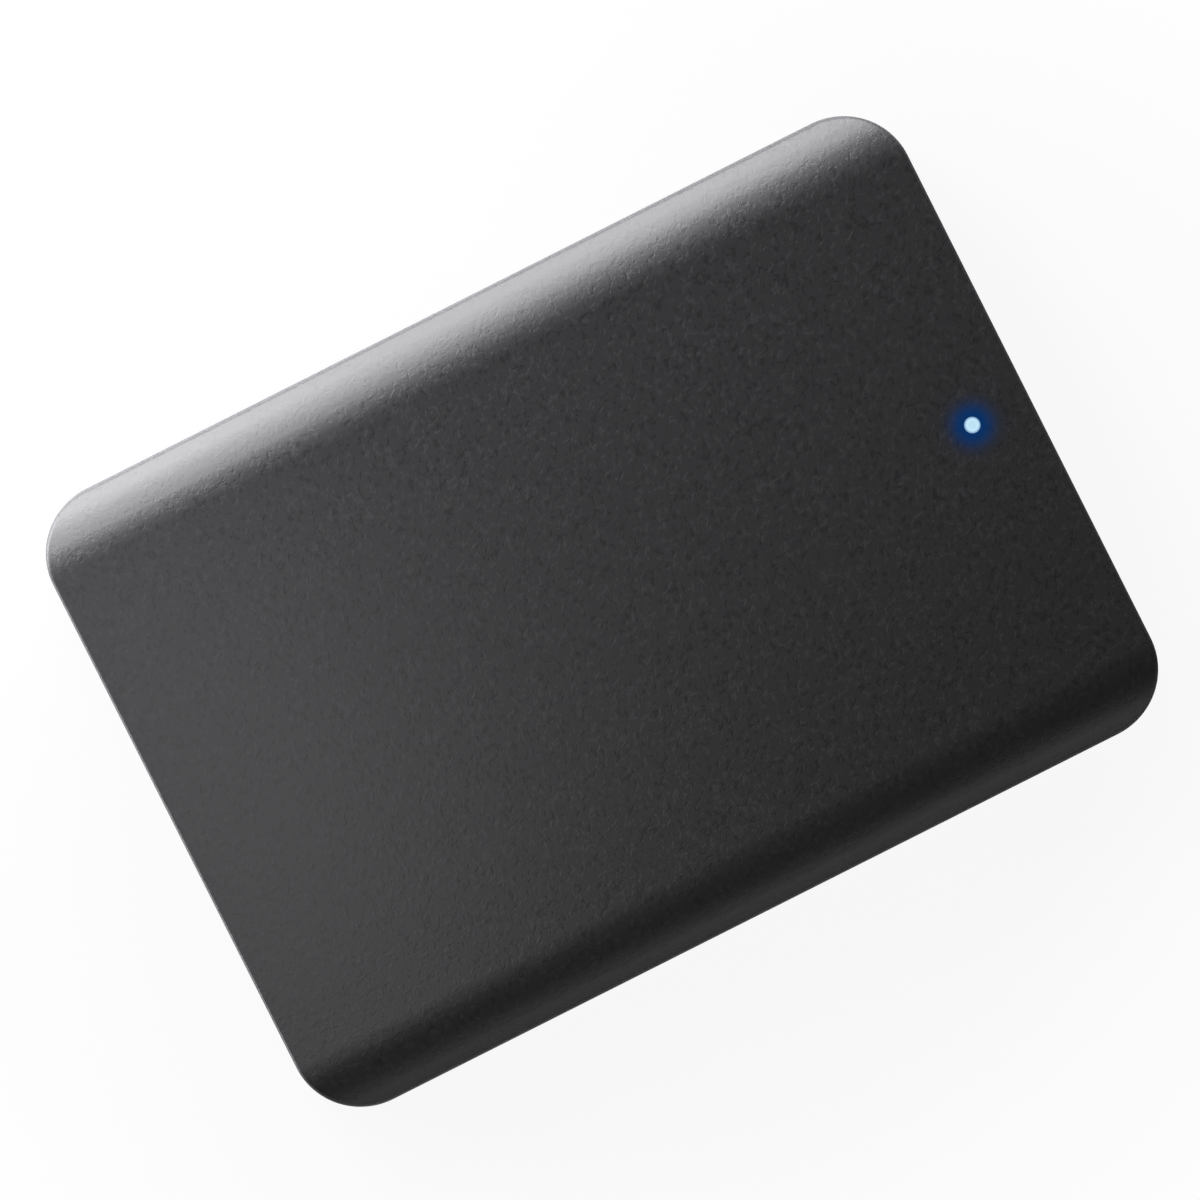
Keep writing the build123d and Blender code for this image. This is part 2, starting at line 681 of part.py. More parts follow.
with BuildPart() as recirculation_filter:
    with BuildSketch(Plane.XY.offset(floor_top)):
        with Locations((filter_x, filter_y)):
            RectangleRounded(FILTER_LENGTH, FILTER_WIDTH, FILTER_CORNER)
    extrude(amount=FILTER_HEIGHT)

# Spindle: everything that turns with the disk
with BuildPart() as spindle_hub:
    with BuildSketch(spindle_plane(web_bottom)):
        Circle(skirt_radius)
    extrude(amount=HUB_WEB)
    with BuildSketch(spindle_plane(platter_bottom)):
        Circle(hub_radius)
    extrude(amount=PLATTER_THICKNESS - FIT)
    with BuildSketch(spindle_plane(skirt_bottom)):
        Circle(skirt_radius)
        Circle(rotor_magnet_radius, mode=Mode.SUBTRACT)
    extrude(amount=web_bottom - skirt_bottom)
    with BuildSketch(spindle_plane(web_bottom)):
        Circle(SHAFT_DIAMETER / 2 + FIT)
    extrude(amount=HUB_WEB, mode=Mode.SUBTRACT)
    with BuildSketch(spindle_plane(platter_bottom)):
        Circle(CLAMP_SCREW_SHANK / 2 + FIT)
    extrude(amount=PLATTER_THICKNESS, mode=Mode.SUBTRACT)

with BuildPart() as spindle_shaft:
    with BuildSketch(spindle_plane(skirt_bottom)):
        Circle(SHAFT_DIAMETER / 2)
    extrude(amount=platter_bottom - skirt_bottom)

with BuildPart() as rotor_magnet:
    with BuildSketch(spindle_plane(skirt_bottom + FIT)):
        Circle(rotor_magnet_radius - FIT)
        Circle(rotor_magnet_radius - ROTOR_MAGNET_WALL, mode=Mode.SUBTRACT)
    extrude(amount=web_bottom - skirt_bottom - 2 * FIT)

with BuildPart() as platter:
    with BuildSketch(spindle_plane(platter_bottom)):
        Circle(platter_radius)
        Circle(PLATTER_BORE / 2, mode=Mode.SUBTRACT)
    extrude(amount=PLATTER_THICKNESS)
    chamfer(platter.edges().filter_by(GeomType.CIRCLE).group_by(SortBy.RADIUS)[-1], length=PLATTER_CHAMFER)

with BuildPart() as disk_clamp:
    with BuildSketch(spindle_plane(platter_top)):
        Circle(PLATTER_BORE / 2 + CLAMP_LEDGE)
        Circle(CLAMP_SCREW_SHANK / 2 + FIT, mode=Mode.SUBTRACT)
        with PolarLocations(CLAMP_HOLE_RING, CLAMP_HOLES):
            Circle(CLAMP_HOLE / 2, mode=Mode.SUBTRACT)
    extrude(amount=CLAMP_THICKNESS)

with BuildPart() as clamp_screw:
    with BuildSketch(spindle_plane(platter_top + CLAMP_THICKNESS)):
        Circle(CLAMP_SCREW_HEAD / 2)
    extrude(amount=CLAMP_SCREW_HEAD_HEIGHT)
    with BuildSketch(spindle_plane(platter_bottom + FIT)):
        Circle(CLAMP_SCREW_SHANK / 2)
    extrude(amount=PLATTER_THICKNESS + CLAMP_THICKNESS - FIT)
    with BuildSketch(spindle_plane(platter_top + CLAMP_THICKNESS + CLAMP_SCREW_HEAD_HEIGHT)):
        RegularPolygon(CLAMP_SCREW_DRIVE / 2, DRIVE_SIDES)
    extrude(amount=-SCREW_DRIVE_DEPTH, mode=Mode.SUBTRACT)

# Motor parts that stand still
with BuildPart() as spindle_sleeve:
    with BuildSketch(spindle_plane(well_floor)):
        Circle(sleeve_radius)
    extrude(amount=sleeve_top - well_floor)
    with BuildSketch(spindle_plane(skirt_bottom - FIT)):
        Circle(sleeve_bore)
    extrude(amount=sleeve_top - skirt_bottom + FIT, mode=Mode.SUBTRACT)

with BuildPart() as stator_core:
    with BuildSketch(spindle_plane(core_bottom)):
        Circle(tooth_root)
        with PolarLocations((tooth_root + shoe_radius) / 2, POLES):
            Rectangle(shoe_radius - tooth_root + SHOE_DEPTH, TOOTH_WIDTH)
        with PolarLocations(0, POLES):
            add(sector(shoe_radius, stator_radius, 0, SHOE_SPREAD))
        Circle(core_bore, mode=Mode.SUBTRACT)
    extrude(amount=CORE_THICKNESS)

with BuildPart() as stator_coils:
    with BuildSketch(spindle_plane(core_bottom - WINDING_BUILD)):
        with PolarLocations(winding_middle, POLES):
            Rectangle(winding_length, TOOTH_WIDTH + 2 * WINDING_SIDE)
    extrude(amount=CORE_THICKNESS + 2 * WINDING_BUILD)
    with BuildSketch(spindle_plane(core_bottom - FIT)):
        with PolarLocations(winding_middle, POLES):
            Rectangle(2 * winding_length, TOOTH_WIDTH + 2 * FIT)
    extrude(amount=CORE_THICKNESS + 2 * FIT, mode=Mode.SUBTRACT)

# Head arm: everything that swings about the pivot
with BuildPart() as actuator_arm:
    with BuildSketch(arm_plane(lower_arm_z)):
        Circle(BLOCK_RADIUS)
    extrude(amount=block_top - lower_arm_z)
    for arm_z in (lower_arm_z, upper_arm_z):
        with BuildSketch(arm_plane(arm_z)):
            add(tapered_plate(0, ARM_ROOT, ARM_TIP_REACH, ARM_TIP))
            with Locations((ARM_WINDOW_REACH, 0)):
                Circle(ARM_WINDOW / 2, mode=Mode.SUBTRACT)
        extrude(amount=ARM_THICKNESS)
    # Fork that carries the voice coil
    with BuildSketch(arm_plane(coil_bottom)):
        add(sector(BLOCK_RADIUS - ARM_THICKNESS, CARRIER_FINGER_REACH, 180, CARRIER_SPREAD))
        add(sector(COIL_INNER - FIT, COIL_OUTER, 180, COIL_SPREAD + CARRIER_ROOM), mode=Mode.SUBTRACT)
    extrude(amount=COIL_THICKNESS)
    with BuildSketch(arm_plane(lower_arm_z)):
        Circle(pivot_sleeve_radius + FIT)
    extrude(amount=block_top - lower_arm_z, mode=Mode.SUBTRACT)

with BuildPart() as voice_coil:
    with BuildSketch(arm_plane(coil_bottom)):
        add(sector(COIL_INNER, COIL_OUTER, 180, COIL_SPREAD))
        add(sector(COIL_INNER + COIL_BAND, COIL_OUTER - COIL_BAND, 180, COIL_WINDOW), mode=Mode.SUBTRACT)
    extrude(amount=COIL_THICKNESS)

with BuildPart() as pivot_sleeve:
    with BuildSketch(arm_plane(lower_arm_z)):
        Circle(pivot_sleeve_radius)
        Circle(pivot_bearing_radius + FIT, mode=Mode.SUBTRACT)
    extrude(amount=block_top - lower_arm_z)

with BuildPart() as pivot_bearings:
    for bearing_z in (lower_arm_z, block_top - BEARING_HEIGHT):
        with BuildSketch(arm_plane(bearing_z)):
            Circle(pivot_bearing_radius)
            Circle(PIVOT_SHAFT_DIAMETER / 2 + RUN, mode=Mode.SUBTRACT)
        extrude(amount=BEARING_HEIGHT)

with BuildPart() as head_suspensions:
    for suspension_z in (lower_suspension_z, upper_suspension_z):
        with BuildSketch(arm_plane(suspension_z)):
            add(tapered_plate(SUSPENSION_START, SUSPENSION_ROOT, lift_tab_reach, SUSPENSION_TIP))
        extrude(amount=SUSPENSION_THICKNESS)

with BuildPart() as head_sliders:
    for slider_z in (lower_slider_z, upper_slider_z):
        with BuildSketch(arm_plane(slider_z)):
            with Locations((ARM_LENGTH, 0)):
                Rectangle(SLIDER_LENGTH, SLIDER_WIDTH)
        extrude(amount=SLIDER_HEIGHT)

# Fixed pieces around the arm
with BuildPart() as pivot_shaft:
    with BuildSketch(pivot_plane(floor_top)):
        Circle(PIVOT_SHAFT_DIAMETER / 2)
    extrude(amount=lid_bottom - floor_top - LID_CLEAR)

yoke_post_reach = (COIL_OUTER + YOKE_OUTER) / 2
yoke_post_turn = YOKE_SPREAD / 2 - math.degrees(YOKE_POST / yoke_post_reach)
post_spots = [polar(yoke_post_reach, yoke_direction + side * yoke_post_turn) for side in (-1, 0, 1)]

with BuildPart() as lower_yoke:
    with BuildSketch(pivot_plane(floor_top)):
        add(sector(YOKE_INNER, YOKE_OUTER, yoke_direction, YOKE_SPREAD))
    extrude(amount=YOKE_THICKNESS)
    with BuildSketch(pivot_plane(floor_top)):
        with Locations(*post_spots):
            Circle(YOKE_POST / 2)
    extrude(amount=upper_yoke_z - floor_top)

with BuildPart() as upper_yoke:
    with BuildSketch(pivot_plane(upper_yoke_z)):
        add(sector(YOKE_INNER, YOKE_OUTER, yoke_direction, YOKE_SPREAD))
    extrude(amount=YOKE_THICKNESS)

with BuildPart() as lower_magnet:
    with BuildSketch(pivot_plane(lower_magnet_z)):
        add(sector(COIL_INNER, COIL_OUTER, yoke_direction, MAGNET_SPREAD))
    extrude(amount=MAGNET_THICKNESS)

with BuildPart() as upper_magnet:
    with BuildSketch(pivot_plane(upper_magnet_z)):
        add(sector(COIL_INNER, COIL_OUTER, yoke_direction, MAGNET_SPREAD))
    extrude(amount=MAGNET_THICKNESS)

stop_turn = CARRIER_SPREAD / 2 + math.degrees((STOP_DIAMETER / 2 + STOP_GAP) / STOP_REACH)

with BuildPart() as crash_stops:
    with BuildSketch(pivot_plane(lower_magnet_z)):
        with Locations(
            polar(STOP_REACH, coil_direction - stop_turn),
            polar(STOP_REACH, coil_direction + swing + stop_turn),
        ):
            Circle(STOP_DIAMETER / 2)
    extrude(amount=upper_yoke_z - lower_magnet_z)

ramp_finger_z = disk_mid - RAMP_FINGER / 2

with BuildPart() as load_ramp:
    with BuildSketch(pivot_plane(floor_top)):
        add(sector(ramp_inner, ramp_outer, ramp_direction, RAMP_SPREAD))
    extrude(amount=RAMP_BASE)
    with BuildSketch(pivot_plane(floor_top)):
        add(sector(ramp_wall, ramp_outer, ramp_direction, RAMP_SPREAD))
    extrude(amount=ramp_finger_z + RAMP_FINGER - floor_top)
    with BuildSketch(pivot_plane(ramp_finger_z)):
        add(sector(ramp_inner, ramp_outer, ramp_direction, RAMP_SPREAD))
    extrude(amount=RAMP_FINGER)

with BuildPart() as flex_bracket:
    with BuildSketch(Plane.XY.offset(floor_top)):
        with Locations(head_connector_at):
            RectangleRounded(BRACKET_LENGTH, BRACKET_WIDTH, BRACKET_CORNER)
    extrude(amount=BRACKET_HEIGHT)

with BuildPart() as head_connector:
    with BuildSketch(Plane.XY.offset(board_top)):
        with Locations(head_connector_at):
            Rectangle(HEAD_CONNECTOR_LENGTH, HEAD_CONNECTOR_WIDTH)
    extrude(amount=floor_top - board_top)

# Flex cable: a standing ribbon from the bracket's back, round one bend, to the side of the arm block
flex_end_x, flex_end_y = polar(BLOCK_RADIUS + FLEX_THICKNESS, FLEX_ANGLE)
flex_z = disk_mid - FLEX_HEIGHT / 2

with BuildPart() as flex_cable:
    with BuildSketch(Plane.XY.offset(flex_z)):
        with BuildLine():
            FilletPolyline(
                (bracket_x - BRACKET_LENGTH / 2 - FIT, bracket_y),
                (pivot_x + flex_end_x, bracket_y),
                (pivot_x + flex_end_x, pivot_y + flex_end_y),
                radius=FLEX_BEND,
            )
        trace(line_width=FLEX_THICKNESS)
    extrude(amount=FLEX_HEIGHT)

# Controller board and the parts on it
with BuildPart() as controller_board:
    with BuildSketch(Plane.XY.offset(board_bottom)):
        with Locations(((board_back + board_front) / 2, 0)):
            RectangleRounded(board_front - board_back, 2 * board_half, BOARD_CORNER)
        with Locations((board_front, 0)):
            Rectangle(2 * TAB_LENGTH, TAB_WIDTH)
        with Locations(*board_screw_spots):
            Circle(SCREW_SHANK / 2 + FIT, mode=Mode.SUBTRACT)
    extrude(amount=BOARD_THICKNESS)

with BuildPart() as board_screws:
    with BuildSketch(Plane.XY.offset(board_bottom)):
        with Locations(*board_screw_spots):
            Circle(SCREW_HEAD / 2)
    extrude(amount=-SCREW_HEAD_HEIGHT)
    with BuildSketch(Plane.XY.offset(board_bottom)):
        with Locations(*board_screw_spots):
            Circle(SCREW_SHANK / 2)
    extrude(amount=recess_top - board_bottom - FIT)
    with BuildSketch(Plane.XY.offset(board_bottom - SCREW_HEAD_HEIGHT)):
        with Locations(*board_screw_spots):
            RegularPolygon(SCREW_DRIVE / 2, DRIVE_SIDES)
    extrude(amount=SCREW_DRIVE_DEPTH, mode=Mode.SUBTRACT)


def on_board(place):
    """Point on the board from a place measured along it and across it."""
    return (board_back + place[0], place[1])


def chip(place, along, across, tall):
    """Packaged part on the board's upper face, with a small bevel around its top."""
    with BuildPart() as body:
        with BuildSketch(Plane.XY.offset(board_top)):
            with Locations(on_board(place)):
                Rectangle(along, across)
        extrude(amount=tall)
        chamfer(body.edges().group_by(Axis.Z)[-1], length=CHIP_BEVEL)
    return body


controller_chip = chip(CONTROLLER_AT, CONTROLLER_SIDE, CONTROLLER_SIDE, CHIP_HEIGHT)
cache_chip = chip(CACHE_AT, CACHE_LENGTH, CACHE_WIDTH, CHIP_HEIGHT)
motor_driver_chip = chip(MOTOR_DRIVER_AT, MOTOR_DRIVER_SIDE, MOTOR_DRIVER_SIDE, CHIP_HEIGHT)
firmware_chip = chip(FIRMWARE_AT, FIRMWARE_LENGTH, FIRMWARE_WIDTH, CHIP_HEIGHT)
clock_crystal = chip(CRYSTAL_AT, CRYSTAL_LENGTH, CRYSTAL_WIDTH, CHIP_HEIGHT)

with BuildPart() as power_inductors:
    with BuildSketch(Plane.XY.offset(board_top)):
        with Locations(on_board(INDUCTORS_AT)):
            with GridLocations(INDUCTOR_PITCH, INDUCTOR_PITCH, 2, 1):
                RectangleRounded(INDUCTOR_SIDE, INDUCTOR_SIDE, INDUCTOR_CORNER)
    extrude(amount=CHIP_HEIGHT)

with BuildPart() as chip_capacitors:
    with BuildSketch(Plane.XY.offset(board_top)):
        with Locations(on_board(CAPACITORS_AT)):
            with GridLocations(CAPACITOR_PITCH, CAPACITOR_PITCH, CAPACITOR_COUNT, 2):
                Rectangle(CAPACITOR_WIDTH, CAPACITOR_LENGTH)
    extrude(amount=CAPACITOR_HEIGHT)

# Socket: folded shell, moulded tongue and its contacts
with BuildPart() as socket_shell:
    with BuildSketch(Plane.YZ.offset(socket_back)):
        add(socket_outline())
    extrude(amount=SOCKET_DEPTH)
    with BuildSketch(Plane.YZ.offset(socket_mouth)):
        add(socket_outline())
        offset(amount=-SOCKET_SHEET, kind=Kind.INTERSECTION)
    extrude(amount=SOCKET_SHEET - SOCKET_DEPTH, mode=Mode.SUBTRACT)

tongue_z = board_top + (SOCKET_HEIGHT - SOCKET_NOTCH_DEPTH) / 2
tongue_back = socket_back + SOCKET_SHEET + FIT
tongue_front = socket_mouth - TONGUE_SETBACK
wide_tongue_y = (lobe_end - SOCKET_WIDTH / 2) / 2
wide_tongue = SOCKET_LOBE - 2 * (SOCKET_SHEET + TONGUE_SIDE_GAP)
slim_tongue_y = (lobe_end + SOCKET_NOTCH + SOCKET_WIDTH / 2) / 2
slim_tongue = SOCKET_WIDTH - SOCKET_LOBE - SOCKET_NOTCH - 2 * (SOCKET_SHEET + TONGUE_SIDE_GAP)
tongues = ((wide_tongue_y, wide_tongue), (slim_tongue_y, slim_tongue))

with BuildPart() as socket_tongue:
    with BuildSketch(Plane.YZ.offset(tongue_back)):
        add(socket_outline())
        offset(amount=-SOCKET_SHEET - FIT, kind=Kind.INTERSECTION)
    extrude(amount=TONGUE_BLOCK)
    with BuildSketch(Plane.YZ.offset(tongue_back)):
        for tongue_y, tongue_width in tongues:
            with Locations((tongue_y, tongue_z)):
                Rectangle(tongue_width, TONGUE_THICKNESS)
    extrude(amount=tongue_front - tongue_back)

with BuildPart() as socket_contacts:
    for tongue_y, tongue_width in tongues:
        with BuildSketch(Plane.YZ.offset(tongue_back + TONGUE_BLOCK)):
            with Locations((tongue_y, tongue_z + (TONGUE_THICKNESS + CONTACT_THICKNESS) / 2)):
                with GridLocations(tongue_width / CONTACT_COUNT, 1, CONTACT_COUNT, 1):
                    Rectangle(CONTACT_WIDTH, CONTACT_THICKNESS)
        extrude(amount=tongue_front - tongue_back - TONGUE_BLOCK - CONTACT_WIDTH)

# Status light: a lamp chip on the board's tab, and the pipe that takes its light to the top cover
light_x = board_front + TAB_LENGTH - LIGHT_LENGTH / 2 - FIT
lamp_top = board_top + LIGHT_HEIGHT
pipe_bar_z = bay_top - PIPE_BAR_HEIGHT

with BuildPart() as status_lamp:
    with BuildSketch(Plane.XY.offset(board_top)):
        with Locations((light_x, -LIGHT_OFFSET)):
            Rectangle(LIGHT_LENGTH, LIGHT_WIDTH)
    extrude(amount=LIGHT_HEIGHT)

with BuildPart() as light_pipe:
    with BuildSketch(Plane.XY.offset(lamp_top + FIT)):
        with Locations((light_x, -LIGHT_OFFSET)):
            Circle(PIPE_BAR_WIDTH / 2)
    extrude(amount=bay_top - lamp_top - FIT)
    with BuildSketch(Plane.XY.offset(pipe_bar_z)):
        with BuildLine():
            Line((light_x, -LIGHT_OFFSET), (lens_x, 0))
        trace(line_width=PIPE_BAR_WIDTH)
        with Locations((lens_x, 0)):
            Circle(PIPE_FLANGE / 2)
    extrude(amount=PIPE_BAR_HEIGHT)
    with BuildSketch(Plane.XY.offset(bay_top)):
        with Locations((lens_x, 0)):
            Circle(LENS_DIAMETER / 2)
    extrude(amount=WALL)

pieces = {
    "top_cover": top_cover,
    "bottom_cover": bottom_cover,
    "rubber_feet": rubber_feet,
    "corner_bumpers": corner_bumpers,
    "light_pipe": light_pipe,
    "base_casting": base_casting,
    "drive_lid": drive_lid,
    "lid_gasket": lid_gasket,
    "lid_screws": lid_screws,
    "recirculation_filter": recirculation_filter,
    "spindle_hub": spindle_hub,
    "spindle_shaft": spindle_shaft,
    "rotor_magnet": rotor_magnet,
    "platter": platter,
    "disk_clamp": disk_clamp,
    "clamp_screw": clamp_screw,
    "spindle_sleeve": spindle_sleeve,
    "stator_core": stator_core,
    "stator_coils": stator_coils,
    "actuator_arm": actuator_arm,
    "voice_coil": voice_coil,
    "pivot_sleeve": pivot_sleeve,
    "pivot_bearings": pivot_bearings,
    "head_suspensions": head_suspensions,
    "head_sliders": head_sliders,
    "pivot_shaft": pivot_shaft,
    "lower_yoke": lower_yoke,
    "upper_yoke": upper_yoke,
    "lower_magnet": lower_magnet,
    "upper_magnet": upper_magnet,
    "crash_stops": crash_stops,
    "load_ramp": load_ramp,
    "flex_bracket": flex_bracket,
    "flex_cable": flex_cable,
    "head_connector": head_connector,
    "controller_board": controller_board,
    "board_screws": board_screws,
    "controller_chip": controller_chip,
    "cache_chip": cache_chip,
    "motor_driver_chip": motor_driver_chip,
    "firmware_chip": firmware_chip,
    "clock_crystal": clock_crystal,
    "power_inductors": power_inductors,
    "chip_capacitors": chip_capacitors,
    "socket_shell": socket_shell,
    "socket_tongue": socket_tongue,
    "socket_contacts": socket_contacts,
    "status_lamp": status_lamp,
}

os.makedirs("parts", exist_ok=True)
for name, piece in pieces.items():
    piece.part.label = name
    export_step(piece.part, f"parts/{name}.step")

print(f"case {length:.2f} x {width:.2f} x {height:.2f}, parting line at {parting_z:.2f}")
print(f"drive {drive_length:.2f} x {drive_width:.2f} x {lid_top - drive_bottom:.2f}")
print(f"spindle at {spindle_x:.3f}, 0; pivot at {pivot_x:.3f}, {pivot_y:.3f}; swing {swing:.2f} degrees")
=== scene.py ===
"""Portable hard drive: dressed model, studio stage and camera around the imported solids.

Lengths are metres. X runs along the case to its socket end, Z is up and the feet rest on Z = 0.
"""

from __future__ import annotations

import json
import logging
import math
from collections.abc import Callable
from dataclasses import dataclass, field
from enum import Enum

import bpy
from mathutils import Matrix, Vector

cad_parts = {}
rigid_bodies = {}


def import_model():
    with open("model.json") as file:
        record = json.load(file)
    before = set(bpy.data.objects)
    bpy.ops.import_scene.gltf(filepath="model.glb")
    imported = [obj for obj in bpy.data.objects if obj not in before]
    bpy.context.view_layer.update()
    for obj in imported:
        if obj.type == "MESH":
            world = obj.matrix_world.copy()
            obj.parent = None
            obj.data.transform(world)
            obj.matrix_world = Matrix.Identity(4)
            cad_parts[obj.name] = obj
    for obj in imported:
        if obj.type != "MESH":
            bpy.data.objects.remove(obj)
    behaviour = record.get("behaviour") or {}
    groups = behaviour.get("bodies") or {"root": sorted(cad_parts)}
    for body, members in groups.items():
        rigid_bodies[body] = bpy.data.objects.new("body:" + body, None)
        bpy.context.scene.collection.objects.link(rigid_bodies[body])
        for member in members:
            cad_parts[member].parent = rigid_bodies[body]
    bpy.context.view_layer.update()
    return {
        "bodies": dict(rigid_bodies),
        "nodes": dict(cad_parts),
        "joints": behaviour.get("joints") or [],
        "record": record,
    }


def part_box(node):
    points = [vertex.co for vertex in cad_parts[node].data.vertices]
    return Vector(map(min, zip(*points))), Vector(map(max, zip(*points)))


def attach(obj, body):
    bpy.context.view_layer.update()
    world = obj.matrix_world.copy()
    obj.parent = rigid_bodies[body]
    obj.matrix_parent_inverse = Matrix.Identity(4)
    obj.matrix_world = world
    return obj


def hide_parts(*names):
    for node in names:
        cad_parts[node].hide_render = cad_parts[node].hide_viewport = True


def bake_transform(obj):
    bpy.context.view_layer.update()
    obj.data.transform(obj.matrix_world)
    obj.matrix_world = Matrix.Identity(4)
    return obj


LOG = logging.getLogger("portable_drive")
MM = 0.001
CAMERA_TURN = -26.73
Colour = tuple[float, float, float]
Test = Callable[[Vector, Vector], bool]
WHITE: Colour = (1.0, 1.0, 1.0)
BLACK: Colour = (0.0, 0.0, 0.0)

# Places closer than NEAR count as one, and a face whose normal has more than UPRIGHT of an axis faces it.
NEAR = 0.01 * MM
UPRIGHT = 0.9
FINE_STEPS = 2

# Noise runs from 0 to 1 around MIDDLE, and a tooth's tone changes between its start and end.
MIDDLE = 0.5
TOOTH_START, TOOTH_END = 0.3, 0.7
METAL_TOOTH = 0.4 * MM
METAL_RELIEF = 0.0085 * MM
METAL_UNEVENNESS = 0.33
METAL_DETAIL = 3.0


class Body(Enum):
    """Bodies of the drive that pieces ride on."""

    CASE = "case"
    HEAD_ARM = "head_arm"


class Half(Enum):
    """The two covers of the case."""

    TOP = "top"
    BOTTOM = "bottom"


class Solver(Enum):
    """What a boolean step does with its tool."""

    CUT = "DIFFERENCE"
    JOIN = "UNION"


class Value:
    """A number socket in a node tree that can be used in Python expressions."""

    def __init__(self, paint: Paint, socket: bpy.types.NodeSocket) -> None:
        """Wrap a socket of a paint's node tree."""
        self.paint = paint
        self.socket = socket

    def _math(self, operation: str, *operands: Value | float) -> Value:
        """Add a Math node.

        Args:
            operation: Name of the Math node's operation.
            operands: Values or numbers, in the order of the node's sockets.

        Returns:
            The node's result.
        """
        links = {index: operand for index, operand in enumerate(operands)}
        return self.paint.node("ShaderNodeMath", {"operation": operation}, links).value()

    def __add__(self, other: Value | float) -> Value:
        """Sum."""
        return self._math("ADD", self, other)

    __radd__ = __add__

    def __sub__(self, other: Value | float) -> Value:
        """Difference."""
        return self._math("SUBTRACT", self, other)

    def __rsub__(self, other: Value | float) -> Value:
        """Difference from a number."""
        return self._math("SUBTRACT", other, self)

    def __mul__(self, other: Value | float) -> Value:
        """Product."""
        return self._math("MULTIPLY", self, other)

    __rmul__ = __mul__

    def __truediv__(self, other: Value | float) -> Value:
        """Quotient."""
        return self._math("DIVIDE", self, other)

    def __pow__(self, other: Value | float) -> Value:
        """Power."""
        return self._math("POWER", self, other)

    def __abs__(self) -> Value:
        """Size without sign."""
        return self._math("ABSOLUTE", self)

    def exp(self) -> Value:
        """Natural exponential."""
        return self._math("EXPONENT", self)

    def clamped(self) -> Value:
        """The value, held between 0 and 1."""
        return self.at_least(0.0).at_most(1.0)

    def at_least(self, low: float) -> Value:
        """The value, and low where it is smaller."""
        return self._math("MAXIMUM", self, low)

    def at_most(self, high: float) -> Value:
        """The value, and high where it is larger."""
        return self._math("MINIMUM", self, high)


class Placed:
    """A node that has been added to a paint's tree."""

    def __init__(self, paint: Paint, node: bpy.types.Node) -> None:
        """Keep the node and the paint that it belongs to."""
        self.paint = paint
        self.node = node

    def out(self, name: str | int = 0) -> bpy.types.NodeSocket:
        """Output socket by name or number."""
        return self.node.outputs[name]

    def value(self, name: str | int = 0) -> Value:
        """Output socket as a number for expressions."""
        return Value(self.paint, self.node.outputs[name])


